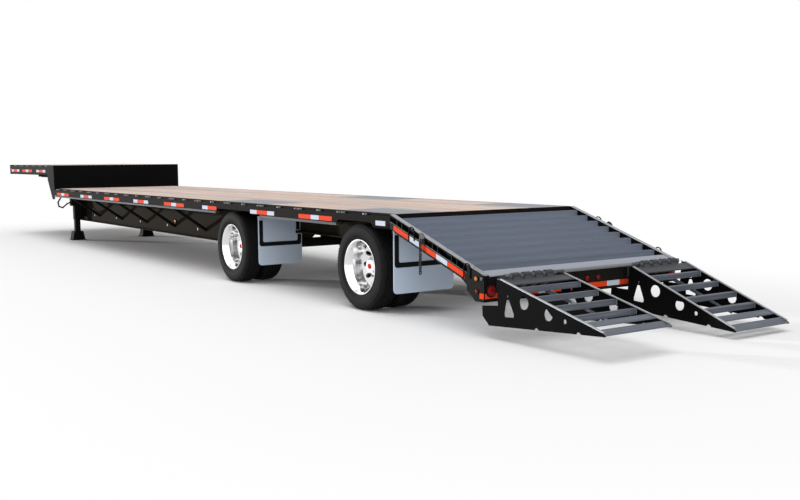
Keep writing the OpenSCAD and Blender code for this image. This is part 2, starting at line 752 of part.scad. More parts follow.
module red_lamps() {
  color([0.75, 0.05, 0.05]) {
    both() {
      bar_x(hw - 78, low_z + 100, 58, x_te - 28, x_te);
      lamp_y(x_te + 95, low_z + 92, 24, hw, 14);
    }
    for (y = [-150, 0, 150]) bar_x(y, low_z + 125, 30, x_te - 16, x_te);
  }
}

module amber_lamps() {
  color([0.9, 0.45, 0.05]) both() {
    lamp_y(x_te + 105, z_te - 35, 24, hw, 14);
    lamp_y(x_nose - 130, upper_z - rub_drop - 60, 24, hw, 14);
    lamp_y(strut_x[3] - 60, deep_z + 200, 26, beam_y + beam_tw / 2, 24);
  }
}

// Mud flaps

flap_sizes = [[x_front, yc - 439, yc + 196, 262], [x_rear, yc - 519, yc + 258, 236]];
FLAP_X = 0;
FLAP_IN = 1;
FLAP_OUT = 2;
FLAP_LOW = 3;
flap_top = beam_top - 29;

flap_r = 45;

// One flap, cut out round the main beam's lower flange
module flap(x, y0, y1, z) {
  gap = 12;
  span([x - 8, y0, z + flap_r], [x, y1, shallow_z - gap]);
  span([x - 8, y0 + flap_r, z], [x, y1 - flap_r, z + flap_r + 1]);
  for (y = [y0 + flap_r, y1 - flap_r]) bar_x(y, z + flap_r, flap_r - 0.4, x - 8, x);
  span([x - 8, beam_y + beam_w / 2 + gap, shallow_z - gap - 1], [x, y1, flap_top]);
  span([x - 8, beam_y + beam_tw / 2 + gap, shallow_z + beam_tf + gap], [x, y1 - 1, flap_top]);
}

module mud_flaps() {
  color([0.4, 0.4, 0.41]) both() for (f = flap_sizes) {
    flap(f[FLAP_X] - flap_back, f[FLAP_IN], f[FLAP_OUT], f[FLAP_LOW]);
  }
}

module flap_hangers() {
  color([0.1, 0.1, 0.1]) both() for (f = flap_sizes) {
    x = f[FLAP_X] - flap_back;
    span([x, beam_y + beam_tw / 2, flap_top - 45], [x + 40, f[FLAP_OUT] - 10, flap_top - 5]);
  }
}

// Suspension

arm_w = 90;
pivot_u = 520;
pivot_z = 500;
seat_u = -335;
seat_z = 520;

module suspension_hangers() {
  color([0.1, 0.1, 0.1]) both() for (x = [x_front, x_rear]) {
    for (s = [-1, 1]) {
      y = beam_y + s * (arm_w / 2 + 6.5);
      plate_xz([[x + pivot_u - 120, shallow_z], [x + pivot_u + 120, shallow_z], [x + pivot_u + 60, pivot_z - 55],
        [x + pivot_u - 60, pivot_z - 55]], y - 6, y + 6);
    }
    bar_y(x + pivot_u, pivot_z, 22, beam_y - arm_w / 2 - 12, beam_y + arm_w / 2 + 12);
  }
}

module trailing_arms() {
  color([0.12, 0.12, 0.12]) both() for (x = [x_front, x_rear]) {
    difference() {
      plate_xz([[x - 440, seat_z - 45], [x - 440, seat_z], [x - 230, seat_z], [x - 115, axle_z + 100], [x + 100, axle_z + 100],
        [x + 470, pivot_z + 48], [x + 560, pivot_z + 48], [x + 575, pivot_z], [x + 560, pivot_z - 48],
        [x + 470, pivot_z - 52], [x + 100, axle_z - 92], [x - 115, axle_z - 92], [x - 240, seat_z - 60]],
        beam_y - arm_w / 2, beam_y + arm_w / 2);
      bar_y(x, axle_z, axle_d / 2 + 0.3, beam_y - arm_w, beam_y + arm_w);
      bar_y(x + pivot_u, pivot_z, 22.3, beam_y - arm_w, beam_y + arm_w);
    }
  }
}

module air_springs() {
  h = shallow_z - seat_z;
  color([0.08, 0.08, 0.08]) both() for (x = [x_front, x_rear]) {
    translate([x + seat_u, beam_y, seat_z]) rotate_extrude($fn = 64)
      polygon([[0, 0], [62, 0], [70, h * 0.12], [98, h * 0.2], [112, h * 0.32], [112, h * 0.44], [100, h * 0.54], [112, h * 0.64],
        [112, h * 0.76], [98, h * 0.88], [80, h * 0.94], [80, h], [0, h]]);
  }
}

module axles() {
  t = yc - 250;
  pot_y = beam_y - 220;
  color([0.12, 0.12, 0.12]) for (x = [x_front, x_rear]) {
    bar_y(x, axle_z, axle_d / 2, -t, t);
    both() {
      bar_y(x, axle_z, spindle_r, t - 1, yc + 55);
      bar_y(x, axle_z, 195, t - 10, t);
      bar_x(pot_y, axle_z + 62, 78, x + 82, x + 240);
      span([x - 30, pot_y - 30, axle_z - 20], [x + 83, pot_y + 30, axle_z + 120]);
    }
  }
}

module air_tank() {
  r = 118;
  half = beam_y - beam_w / 2 - 45;
  z = beam_top - 40 - r;
  color([0.1, 0.1, 0.1]) {
    bar_y(tank_x, z, r, -half, half);
    both() span([tank_x - 30, half - 160, z], [tank_x + 30, half - 120, beam_top]);
  }
}

// Wheels, drawn about Z with the outer side up

module tyre_ring() {
  r = tyre_d / 2;
  b = bead_d / 2;
  h = tyre_w / 2;
  g = 9;
  groove = [for (y = [-64, -22, 22, 64]) each [[r, y - 5], [r - g, y - 4], [r - g, y + 4], [r, y + 5]]];
  rotate_extrude($fn = 120) polygon(concat([[b, -h + 31], [b + 14, -h + 20], [b + 55, -h + 3], [b + 90, -h], [b + 120, -h + 3],
    [r - 28, -h + 16], [r - 6, -h + 24], [r, -h + 34]], groove, [[r, h - 34], [r - 6, h - 24], [r - 28, h - 16],
    [b + 120, h - 3], [b + 90, h], [b + 55, h - 3], [b + 14, h - 20], [b, h - 31]]));
}

disc_r = 110.5;

module rim_ring() {
  b = bead_d / 2 - 0.3;
  d = -dual / 2;
  difference() {
    rotate_extrude($fn = 120) polygon([[b + 12, 116], [b + 12, 110], [b, 97], [b, 72], [b - 27, 45], [b - 27, -45],
      [b, -72], [b, -97], [b + 12, -110], [b + 12, -116], [b, -116], [b - 17, -100], [196, d], [disc_r, d],
      [disc_r, d + 22], [186, d + 22], [b - 41, d + 74], [b - 39, -40], [b - 39, 40], [b - 15, 92], [b, 116]]);
    for (k = [0 : 9]) rotate([0, 0, 36 * k]) translate([206, 0, d - 1]) cylinder(r = 27, h = 120, $fn = 48);
  }
}

module hub_drum() {
  rotate_extrude($fn = 96) polygon([[spindle_r + 0.6, -235], [98, -235], [98, -62], [208, -88], [208, -235], [220, -235],
    [220, -78], [184, -34], [175, -22.3], [109, -22.3], [109, 70], [92, 92], [80, 96], [80, 130], [70, 140], [0, 140],
    [0, 60], [spindle_r + 0.6, 60]]);
}

module at_wheel(x) {
  translate([x, yc, axle_z]) rotate([-90, 0, 0]) children();
}

module tyre_pair(x) {
  color([0.06, 0.06, 0.06]) at_wheel(x) {
    translate([0, 0, dual / 2]) tyre_ring();
    translate([0, 0, -dual / 2]) tyre_ring();
  }
}

module rim_pair(x) {
  color([0.75, 0.75, 0.76]) at_wheel(x) {
    translate([0, 0, dual / 2]) rim_ring();
    mirror([0, 0, 1]) translate([0, 0, dual / 2]) rim_ring();
  }
}

module hub_one(x) {
  color([0.3, 0.3, 0.3]) at_wheel(x) hub_drum();
}

module right() {
  mirror([0, 1, 0]) children();
}

main_beams();
neck_beams();
upper_beams();
crossmembers();
side_struts();
side_rails();
upper_rails();
rub_rails();
stake_pockets();
winch_tracks();
deck_boards();
upper_boards();
wheel_plates();
drop_panel();
drop_side_plates();
nose_rail();
nose_couplings();
coupler_plate();
kingpin();
landing_legs();
landing_feet();
landing_drive();
tail_rails();
tail_cleats();
tail_beams();
tail_bumper();
ramp_hinges();
ramp_chains();
red_lamps();
amber_lamps();
mud_flaps();
flap_hangers();
suspension_hangers();
trailing_arms();
air_springs();
axles();
air_tank();
ramp_left_plates();
ramp_left_bars();
ramp_right_plates();
ramp_right_bars();
tyre_pair(x_front);  // tyres_front_left
rim_pair(x_front);  // rims_front_left
hub_one(x_front);  // hub_front_left
right() tyre_pair(x_front);  // tyres_front_right
right() rim_pair(x_front);  // rims_front_right
right() hub_one(x_front);  // hub_front_right
tyre_pair(x_rear);  // tyres_rear_left
rim_pair(x_rear);  // rims_rear_left
hub_one(x_rear);  // hub_rear_left
right() tyre_pair(x_rear);  // tyres_rear_right
right() rim_pair(x_rear);  // rims_rear_right
right() hub_one(x_rear);  // hub_rear_right
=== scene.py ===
"""Looks of a drop deck semi-trailer with a beavertail and two flip-over ramps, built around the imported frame.

Metres, X forward, Y to the left, Z up, origin on the ground below the middle of the length.
"""

from __future__ import annotations

import json
import logging
import math
from dataclasses import dataclass
from enum import Enum
from typing import Any, Callable, Mapping, Optional, Sequence, Union

import bmesh
import bpy
from mathutils import Matrix, Vector

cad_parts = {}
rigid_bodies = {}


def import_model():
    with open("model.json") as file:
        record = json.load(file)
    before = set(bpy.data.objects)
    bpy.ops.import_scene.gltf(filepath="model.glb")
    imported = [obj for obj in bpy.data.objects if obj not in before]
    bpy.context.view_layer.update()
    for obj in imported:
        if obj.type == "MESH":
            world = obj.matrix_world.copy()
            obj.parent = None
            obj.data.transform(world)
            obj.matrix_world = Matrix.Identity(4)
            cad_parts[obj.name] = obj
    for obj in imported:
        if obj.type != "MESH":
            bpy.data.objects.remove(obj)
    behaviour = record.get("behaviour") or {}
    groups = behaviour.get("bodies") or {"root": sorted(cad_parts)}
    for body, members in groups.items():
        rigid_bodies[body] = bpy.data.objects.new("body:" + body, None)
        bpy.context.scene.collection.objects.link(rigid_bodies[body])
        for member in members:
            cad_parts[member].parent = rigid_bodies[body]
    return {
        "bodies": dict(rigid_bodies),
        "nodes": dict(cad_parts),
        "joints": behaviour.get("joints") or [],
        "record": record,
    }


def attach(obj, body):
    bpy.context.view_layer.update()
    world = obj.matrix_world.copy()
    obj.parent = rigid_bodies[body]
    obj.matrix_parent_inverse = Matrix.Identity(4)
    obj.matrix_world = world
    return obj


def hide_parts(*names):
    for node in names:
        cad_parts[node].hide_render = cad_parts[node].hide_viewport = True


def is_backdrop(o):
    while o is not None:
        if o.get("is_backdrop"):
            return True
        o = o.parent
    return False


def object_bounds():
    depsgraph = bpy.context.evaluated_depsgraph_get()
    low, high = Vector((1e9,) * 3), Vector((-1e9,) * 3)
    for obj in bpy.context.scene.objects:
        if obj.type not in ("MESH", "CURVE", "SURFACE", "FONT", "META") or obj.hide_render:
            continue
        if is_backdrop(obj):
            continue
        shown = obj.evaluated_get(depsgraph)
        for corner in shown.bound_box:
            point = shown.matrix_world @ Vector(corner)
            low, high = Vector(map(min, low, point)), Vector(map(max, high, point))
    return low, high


LOG = logging.getLogger("drop_deck_trailer")
Colour = tuple[float, float, float]
Point = tuple[float, float, float]
Pair = tuple[float, float]
Outline = Sequence[Pair]
SIDES = (1, -1)
ORIGIN: Point = (0.0, 0.0, 0.0)
WHITE: Colour = (1.0, 1.0, 1.0)


class Axis(Enum):
    """The direction in which a slab is thick or a turned part is long."""

    X = 0
    Y = 1
    Z = 2


class Head(Enum):
    """Kinds of fastener."""

    SCREW = "screw"
    BOLT = "bolt"
    NUT = "nut"


class Tint(Enum):
    """Colours of the reflecting tape."""

    RED = "R"
    WHITE = "W"


class Glass(Enum):
    """Colours of the lamps' lenses."""

    RED = "red"
    AMBER = "amber"
    CLEAR = "clear"


@dataclass(frozen=True)
class Trailer:
    """Main sizes, the same as in the part's source."""

    half: float = 1.2955
    deck_z: float = 1.056
    upper_z: float = 1.510
    nose_x: float = 8.788627
    wall_x: float = 5.523627
    tail_x: float = -5.921373
    end_x: float = -7.381373
    end_z: float = 0.571
    hinge_x: float = -7.521373
    front_axle_x: float = -2.218373
    rear_axle_x: float = -5.291373
    axle_z: float = 0.464
    wheel_y: float = 0.984
    dual: float = 0.312
    edge_y: float = 1.2035
    boards: int = 17
    beam_y: float = 0.550
    ramp_in: float = 0.462
    ramp_out: float = 1.252

    def board(self) -> float:
        """Width of one deck board."""
        return 2 * self.edge_y / self.boards

    def tail_slope(self) -> float:
        """Rise of the beavertail for each metre forward."""
        return (self.deck_z - self.end_z) / (self.tail_x - self.end_x)

    def tail_z(self, x: float) -> float:
        """Height of the beavertail's rails at x."""
        return self.deck_z + (x - self.tail_x) * self.tail_slope()


SIZES = Trailer()


@dataclass(frozen=True)
class Wheel:
    """One dual wheel: its name, where its axle is and its side."""

    name: str
    x: float
    side: int

    def at(self, out: float) -> Point:
        """The point of the axle's line that lies so far outside the middle of the two tyres."""
        return (self.x, self.side * (SIZES.wheel_y + out), SIZES.axle_z)

    def ring(self, out: float, radius: float, count: int, start: float = 0.0) -> list[Point]:
        """Points on a circle about the axle's line.

        Args:
            out: how far it lies outside the middle of the two tyres.
            radius: its radius.
            count: number of points.
            start: the first point's place, in steps.

        Returns:
            The points.
        """
        x, y, z = self.at(out)
        turns = [math.tau * (k + start) / count for k in range(count)]
        return [(x + radius * math.cos(turn), y, z + radius * math.sin(turn)) for turn in turns]


WHEELS: tuple[Wheel, ...] = tuple(
    Wheel(f"{place}_{hand}", x, side)
    for place, x in (("front", SIZES.front_axle_x), ("rear", SIZES.rear_axle_x))
    for hand, side in (("left", 1), ("right", -1))
)


def math_node(operation: str, flip: bool = False) -> Callable[..., Value]:
    """Makes an operator that adds a Math node.

    Args:
        operation: the node's operation.
        flip: whether the other number comes first.

    Returns:
        A method for Value.
    """

    def method(value: Value, other: Number = 0.0) -> Value:
        """The node's result for a value and, where it takes one, another number."""
        pair = (other, value) if flip else (value, other)
        return value.tree.node("ShaderNodeMath", dict(enumerate(pair)), {"operation": operation})

    return method


class Value:
    """A socket of a node tree, with the operators of numbers; a comparison gives 1 or 0."""

    __add__ = math_node("ADD")
    __radd__ = math_node("ADD", True)
    __sub__ = math_node("SUBTRACT")
    __rsub__ = math_node("SUBTRACT", True)
    __mul__ = math_node("MULTIPLY")
    __truediv__ = math_node("DIVIDE")
    __gt__ = math_node("GREATER_THAN")
    __lt__ = math_node("LESS_THAN")
    __abs__ = math_node("ABSOLUTE")
    floor = math_node("FLOOR")
    fraction = math_node("FRACT")
    larger = math_node("MAXIMUM")
    root = math_node("SQRT")

    def __init__(self, tree: Tree, socket: bpy.types.NodeSocket) -> None:
        """Keeps the tree and the socket."""
        self.tree = tree
        self.socket = socket

    def smooth(self, low: float, high: float) -> Value:
        """Rises in a soft curve from 0 at low to 1 at high."""
        settings = {"interpolation_type": "SMOOTHSTEP"}
        return self.tree.node("ShaderNodeMapRange", {0: self, 1: low, 2: high}, settings)


Number = Union[Value, float]


class Tree:
    """A node tree, with one method that makes any node."""

    def __init__(self, nodes: bpy.types.NodeTree) -> None:
        """Starts from an empty tree."""
        self.tree = nodes
        self.tree.nodes.clear()

    def node(
        self,
        kind: str,
        inputs: Optional[Mapping[Union[str, int], Any]] = None,
        settings: Optional[Mapping[str, Any]] = None,
        output: Union[str, int] = 0,
    ) -> Value:
        """Makes a node, sets it up and feeds it.

        Args:
            kind: the node's type.
            inputs: values or links of its sockets, by name or number.
            settings: the node's own properties, set first.
            output: the socket that is wanted, by name or number.

        Returns:
            The wanted output.
        """
        made = self.tree.nodes.new(kind)
        for key, setting in (settings or {}).items():
            setattr(made, key, setting)
        for key, value in (inputs or {}).items():
            self.feed(made.inputs[key], value)
        return Value(self, made.outputs[output] if made.outputs else made.inputs[0])

    def feed(self, socket: bpy.types.NodeSocket, value: Any) -> None:
        """Links a value to a socket, or sets the socket.

        Args:
            socket: the input.
            value: a Value, a number, a colour or a vector.
        """
        if isinstance(value, Value):
            self.tree.links.new(value.socket, socket)
        elif socket.type == "RGBA":
            socket.default_value = (*value, 1.0)
        else:
            socket.default_value = value


class Shade(Tree):
    """A material's nodes."""

    def __init__(self, name: str) -> None:
        """Makes the material.

        Args:
            name: its name.
        """
        self.material = bpy.data.materials.new(name)
        self.material.use_nodes = True
        super().__init__(self.material.node_tree)
        self.place = self.node("ShaderNodeTexCoord", output="Object")

    def axes(self, vector: Optional[Value] = None) -> tuple[Value, Value, Value]:
        """The three parts of a vector, by default of the place on the object."""
        parts = self.node("ShaderNodeSeparateXYZ", {0: vector or self.place}).socket.node.outputs
        return Value(self, parts[0]), Value(self, parts[1]), Value(self, parts[2])

    def upward(self) -> Value:
        """How far a face looks up, from the object's own normals."""
        return self.axes(self.node("ShaderNodeTexCoord", output="Normal"))[2]

    def noise(self, scale: float, detail: float, stretch: Point = (1.0, 1.0, 1.0)) -> Value:
        """Cloudy noise round 0.5, by its features in a metre, its octaves and factors along the axes."""
        grown = self.node("ShaderNodeVectorMath", {0: self.place, 1: stretch}, {"operation": "MULTIPLY"})
        return self.node("ShaderNodeTexNoise", {"Vector": grown, "Scale": scale, "Detail": detail})

    def cells(self, scale: float) -> Value:
        """Distance to the nearest of many scattered points, by their number in a metre."""
        return self.node("ShaderNodeTexVoronoi", {"Vector": self.place, "Scale": scale})

    def chance(self, *parts: Number) -> Value:
        """A number from 0 to 1, the same wherever all of up to three parts are the same."""
        joined = self.node("ShaderNodeCombineXYZ", dict(enumerate(parts)))
        return self.node("ShaderNodeTexWhiteNoise", {"Vector": joined}, {"noise_dimensions": "3D"})

    def blend(self, mask: Number, low: Any, high: Any) -> Value:
        """Mixes two colours: the first where the mask is 0, the second where it is 1."""
        settings = {"data_type": "RGBA", "clamp_factor": True}
        return self.node("ShaderNodeMix", {0: mask, 6: low, 7: high}, settings, 2)

    def bump(self, height: Value, strength: float, depth: float) -> Value:
        """The normal of a surface that is roughened by a share of a height, which is so many metres deep."""
        return self.node("ShaderNodeBump", {"Height": height, "Strength": strength, "Distance": depth})

    def surface(self, colour: Value, rough: Number, normal: Value, **more: Any) -> None:
        """Closes the tree with one surface.

        Args:
            colour: its colour.
            rough: its roughness.
            normal: its normal.
            **more: the shader's other inputs, with underscores for spaces.
        """
        inputs = {key.replace("_", " "): value for key, value in more.items()}
        inputs.update({"Base Color": colour, "Roughness": rough, "Normal": normal})
        self.node("ShaderNodeOutputMaterial", {"Surface": self.node("ShaderNodeBsdfPrincipled", inputs)})


@dataclass(frozen=True)
class Finish:
    """A finish: a name and a way to draw it."""

    name: str

    def draw(self, shade: Shade) -> None:
        """Draws the finish into a new material."""
        raise NotImplementedError

    def material(self) -> bpy.types.Material:
        """The finish as a material, made once.

        Returns:
            The material.
        """
        found = bpy.data.materials.get(self.name)
        if found is None:
            shade = Shade(self.name)
            self.draw(shade)
            found = shade.material
        return found


@dataclass(frozen=True)
class Paint(Finish):
    """Sprayed paint with road dust, and bare metal on faces that look up where it is rubbed."""

    tone: Colour = (0.0095, 0.0083, 0.0073)
    dust: Colour = (0.06, 0.05, 0.04)
    dusting: float = 0.34
    gloss: float = 0.36
    shine: float = 0.007
    rubbed: float = 0.0
    bare: Colour = (0.42, 0.43, 0.45)

    def draw(self, shade: Shade) -> None:
        """Draws clouds of dust, an orange peel and a rubbed top.

        Args:
            shade: the material's nodes.
        """
        cloud = shade.noise(1.3, 4.0)
        fine = shade.noise(55.0, 3.0)
        peel = shade.noise(420.0, 1.0)
        up = shade.upward().smooth(0.55, 0.97)
        dust = (cloud.smooth(0.4, 0.72) * 0.55 + up * 0.6) * fine.smooth(0.28, 0.7) * self.dusting
        colour = shade.blend(dust, self.tone, self.dust)
        rough = self.gloss + cloud * 0.1 + fine * 0.08 + dust * 0.3
        if self.rubbed:
            worn = up * (cloud + fine).smooth(0.55, 0.95) * self.rubbed
            colour = shade.blend(worn, colour, self.bare)
            rough = rough + worn * 0.12
        normal = shade.bump(peel + fine * 0.6, 0.1, 0.0012)
        shade.surface(colour, rough, normal, Specular_IOR_Level=self.shine)


@dataclass(frozen=True)
class Boards(Finish):
    """Weathered hardwood boards that run along the deck."""

    length: float = 3.66
    pale: Colour = (0.70, 0.56, 0.485)
    rosy: Colour = (0.59, 0.445, 0.375)
    dark: Colour = (0.32, 0.23, 0.185)
    grey: Colour = (0.46, 0.42, 0.39)
    lane: Pair = (0.46, 0.61)
    lane_tone: Colour = (0.36, 0.365, 0.375)
    butt_share: float = 0.0011
    seam_from: float = 0.487
    gap_tone: Colour = (0.05, 0.04, 0.032)

    def draw(self, shade: Shade) -> None:
        """Draws a tone for each board, long grain, grey wear, a grey lane over each beam and butt joints.

        Args:
            shade: the material's nodes.
        """
        x, y, _ = shade.axes()
        across = (y + SIZES.edge_y) / SIZES.board()
        row = across.floor()
        along = x / self.length + shade.chance(row, 7.0, 1.0)
        tone = shade.chance(row, along.floor(), 3.0)
        grain = shade.noise(1.0, 5.0, (1.1, 46.0, 46.0))
        fibre = shade.noise(1.0, 3.0, (9.0, 420.0, 420.0))
        wear = shade.noise(0.8, 5.0)
        colour = shade.blend(tone, self.pale, self.rosy)
        colour = shade.blend(grain.smooth(0.46, 0.74) * 0.7, colour, self.dark)
        faded = wear.smooth(0.45, 0.75) * 0.5 + fibre.smooth(0.55, 0.8) * 0.25
        colour = shade.blend(faded, colour, self.grey)
        lane = (abs(y) > self.lane[0]) * (abs(y) < self.lane[1])
        colour = shade.blend(lane * 0.6, colour, self.lane_tone)
        seam = abs(across.fraction() - 0.5) > self.seam_from
        joint = (along.fraction() < self.butt_share).larger(seam)
        colour = shade.blend(joint * 0.75, colour, self.gap_tone)
        rough = 0.66 + fibre * 0.18 + wear * 0.08
        normal = shade.bump(grain * 0.6 + fibre * 0.5 - joint, 0.35, 0.0025)
        shade.surface(colour, rough, normal, Specular_IOR_Level=0.25)


@dataclass(frozen=True)
class Steel(Finish):
    """Painted or bare plate steel with drag marks and a little rust."""

    tone: Colour = (0.16, 0.175, 0.205)
    bright: Colour = (0.30, 0.315, 0.34)
    rust: Colour = (0.16, 0.075, 0.04)
    rusting: float = 0.12
    metal: float = 0.35
    gloss: float = 0.42
    shine: float = 0.4
    marks: Point = (2.0, 60.0, 60.0)
    cover: float = 0.8

    def patched(self, shade: Shade, colour: Value) -> Value:
        """The colour with its patches of another colour, of which a plain plate has none."""
        return colour

    def draw(self, shade: Shade) -> None:
        """Draws mill clouds, drag marks along one axis, patches and specks of rust.

        Args:
            shade: the material's nodes.
        """
        cloud = shade.noise(2.2, 5.0)
        drag = shade.noise(1.0, 4.0, self.marks)
        speck = shade.noise(130.0, 3.0)
        colour = shade.blend(drag.smooth(0.42, 0.75) * 0.55 + cloud * 0.25, self.tone, self.bright)
        colour = self.patched(shade, colour)
        rust = cloud.smooth(0.56, 0.78) * speck.smooth(0.46, 0.68) * self.rusting
        colour = shade.blend(rust, colour, self.rust)
        rough = self.gloss + drag * 0.16 + speck * 0.1 + rust * 0.3
        normal = shade.bump(drag * 0.5 + speck, 0.12, 0.0015)
        shade.surface(colour, rough, normal, Metallic=self.metal, Specular_IOR_Level=self.shine)


@dataclass(frozen=True)
class CleatSteel(Steel):
    """Cleats with painted shade on their tops, painted light low on each upright face, and a pale strip at the
    beavertail's end.
    """

    strip_x: float = SIZES.end_x + 0.107
    strip: Colour = (0.30, 0.315, 0.36)
    # painted shade: darkens the cleats' top faces, which the lamps light more than the upright faces
    top: Colour = (0.022, 0.026, 0.036)
    # painted light: a paler colour low on each upright face, against the shade in the corner where it meets the
    # next cleat
    painted_foot_light: Colour = (0.245, 0.287, 0.37)
    painted_foot_light_cover: float = 0.7

    def patched(self, shade: Shade, colour: Value) -> Value:
        """Adds the strip, painted shade on the tops and painted light low on each upright face.

        Args:
            shade: the material's nodes.
            colour: the plate's colour.

        Returns:
            The new colour.
        """
        x, _, z = shade.axes()
        up = shade.upward()
        ahead = x > self.strip_x
        colour = shade.blend((x < self.strip_x) * self.cover, colour, self.strip)
        # painted shade on the faces that look up, ahead of the strip
        colour = shade.blend(up.smooth(0.9, 0.99) * ahead * self.cover, colour, self.top)
        # painted light: paler towards the bottom of each upright face, against the shade in the corner below it
        below = SIZES.tail_z(0.0) + x * SIZES.tail_slope() - z
        feet = below.smooth(0.01, 0.075) * (1 - up.smooth(0.5, 0.9)) * ahead
        return shade.blend(feet * self.painted_foot_light_cover, colour, self.painted_foot_light)


@dataclass(frozen=True)
class RampSteel(Steel):
    """A ramp's cross bars with pale ends, and dark where the ramp is hinged."""

    dark_x: float = SIZES.hinge_x - 0.155
    dark: Colour = (0.02, 0.02, 0.022)
    end_wide: float = 0.0185
    end: Colour = (0.40, 0.41, 0.43)

    def patched(self, shade: Shade, colour: Value) -> Value:
        """Adds the dark hinge side and the ends.

        Args:
            shade: the material's nodes.
            colour: the plate's colour.

        Returns:
            The new colour.
        """
        x, y, _ = shade.axes()
        colour = shade.blend((x > self.dark_x) * self.cover, colour, self.dark)
        inner_end = abs(y) < SIZES.ramp_in + self.end_wide
        ends = inner_end.larger(abs(y) > SIZES.ramp_out - self.end_wide)
        return shade.blend(ends * self.cover, colour, self.end)


@dataclass(frozen=True)
class HingeSteel(Steel):
    """Hinges that are paler between the two ramps."""

    middle_y: float = 0.455
    middle: Colour = (0.2, 0.205, 0.22)

    def patched(self, shade: Shade, colour: Value) -> Value:
        """Adds the pale middle."""
        between = abs(shade.axes()[1]) < self.middle_y
        return shade.blend(between * self.cover, colour, self.middle)


@dataclass(frozen=True)
class Alloy(Finish):
    """Polished aluminium with faint smears; dark iron on the wheel's inner side where that is given."""

    tone: Colour = (0.80, 0.80, 0.805)
    grime: Colour = (0.55, 0.53, 0.50)
    gloss: float = 0.11
    iron_inside: float = 0.0
    iron: Colour = (0.055, 0.05, 0.047)

    def draw(self, shade: Shade) -> None:
        """Draws smears, brake dust and a turned grain.

        Args:
            shade: the material's nodes.
        """
        smear = shade.noise(9.0, 4.0)
        dust = shade.noise(38.0, 3.0)
        grain = shade.noise(1.0, 2.0, (30.0, 900.0, 30.0))
        colour = shade.blend(dust.smooth(0.5, 0.8) * 0.22, self.tone, self.grime)
        rough = self.gloss + smear.smooth(0.4, 0.75) * 0.14 + dust * 0.04
        metal: Number = 1.0
        if self.iron_inside:
            inner = abs(shade.axes()[1]) < self.iron_inside
            colour = shade.blend(inner, colour, self.iron)
            rough = rough + inner * 0.4
            metal = 1 - inner * 0.6
        normal = shade.bump(grain * 0.5 + smear * 0.4, 0.02, 0.0006)
        shade.surface(colour, rough, normal, Metallic=metal)


@dataclass(frozen=True)
class Rubber(Finish):
    """Moulded rubber with a bloom of dust."""

    tone: Colour = (0.007, 0.007, 0.0075)
    dust: Colour = (0.032, 0.03, 0.028)
    dusting: float = 0.3
    gloss: float = 0.54
    shine: float = 0.05
    pores: float = 260.0

    def draw(self, shade: Shade) -> None:
        """Draws clouds of dust and a fine skin.

        Args:
            shade: the material's nodes.
        """
        cloud = shade.noise(5.0, 5.0)
        skin = shade.noise(self.pores, 2.0)
        dust = (cloud.smooth(0.42, 0.75) * 0.7 + skin * 0.3) * self.dusting
        colour = shade.blend(dust, self.tone, self.dust)
        rough = self.gloss + cloud * 0.16 + skin * 0.08
        normal = shade.bump(skin + cloud * 0.3, 0.14, 0.0012)
        shade.surface(colour, rough, normal, Specular_IOR_Level=self.shine)


@dataclass(frozen=True)
class Lens(Finish):
    """A moulded lamp lens with small prisms."""

    tone: Colour = (0.34, 0.006, 0.008)
    deep: Colour = (0.12, 0.002, 0.003)
    prisms: float = 150.0
    shine: float = 0.15
    coat: float = 0.05

    def draw(self, shade: Shade) -> None:
        """Draws prisms under a clear coat.

        Args:
            shade: the material's nodes.
        """
        cell = shade.cells(self.prisms)
        colour = shade.blend(cell.smooth(0.15, 0.6), self.tone, self.deep)
        rough = 0.12 + cell * 0.1
        normal = shade.bump(cell, 0.35, 0.0012)
        shade.surface(colour, rough, normal, Specular_IOR_Level=self.shine, Coat_Weight=self.coat)


@dataclass(frozen=True)
class Tape(Finish):
    """Reflecting tape, printed in a lattice of small cells."""

    tone: Colour = (0.66, 0.055, 0.016)
    line: Colour = (0.5, 0.035, 0.011)
    lattice: float = 62.0
    shine: float = 0.015

    def draw(self, shade: Shade) -> None:
        """Draws diagonal seams between the cells, and a few scuffs.

        Args:
            shade: the material's nodes.
        """
        x, y, z = shade.axes()
        run = x + y
        first = abs(((run + z) * self.lattice).fraction() - 0.5)
        second = abs(((run - z) * self.lattice).fraction() - 0.5)
        seam = first.larger(second).smooth(0.42, 0.49)
        scuff = shade.noise(14.0, 4.0).smooth(0.58, 0.8)
        colour = shade.blend(seam * 0.55 + scuff * 0.18, self.tone, self.line)
        rough = 0.3 + scuff * 0.25 + seam * 0.08
        normal = shade.bump(seam, 0.2, 0.0006)
        shade.surface(colour, rough, normal, Specular_IOR_Level=self.shine)


MARKS_ACROSS: Point = (60.0, 2.0, 60.0)
BLACK = Paint("finish_black_paint")
PANEL = Paint("finish_panel_paint", tone=(0.0025, 0.0025, 0.003), dusting=0.05, gloss=0.3, shine=0.03)
UNDERSIDE = Paint("finish_beam_paint", tone=(0.018, 0.015, 0.0105), dusting=0.3, gloss=0.46, shine=0.006)
RAMP_PAINT = Paint("finish_ramp_paint", tone=(0.0035, 0.0035, 0.004), dusting=0.06, rubbed=0.9, shine=0.012)
TAIL_PAINT = Paint("finish_tail_paint", tone=(0.005, 0.0048, 0.005), dusting=0.1, rubbed=0.85, shine=0.03)
RED_CAP = Paint("finish_red_cap", tone=(0.55, 0.03, 0.02), dust=(0.4, 0.1, 0.08), dusting=0.2, gloss=0.25)
WOOD = Boards("finish_deck_boards")
DECK_STEEL = Steel("finish_deck_steel", tone=(0.165, 0.175, 0.2), bright=(0.27, 0.28, 0.3))
LIP = Steel("finish_track_lip", tone=(0.06, 0.061, 0.065), bright=(0.12, 0.122, 0.13), metal=0.1, shine=0.05)
TRACK = Steel("finish_track_grey", tone=(0.21, 0.215, 0.225), bright=(0.34, 0.35, 0.365), rusting=0.05)
FITTING = Steel("finish_fitting_steel", tone=(0.3, 0.3, 0.31), bright=(0.5, 0.5, 0.51), metal=0.8, gloss=0.3)
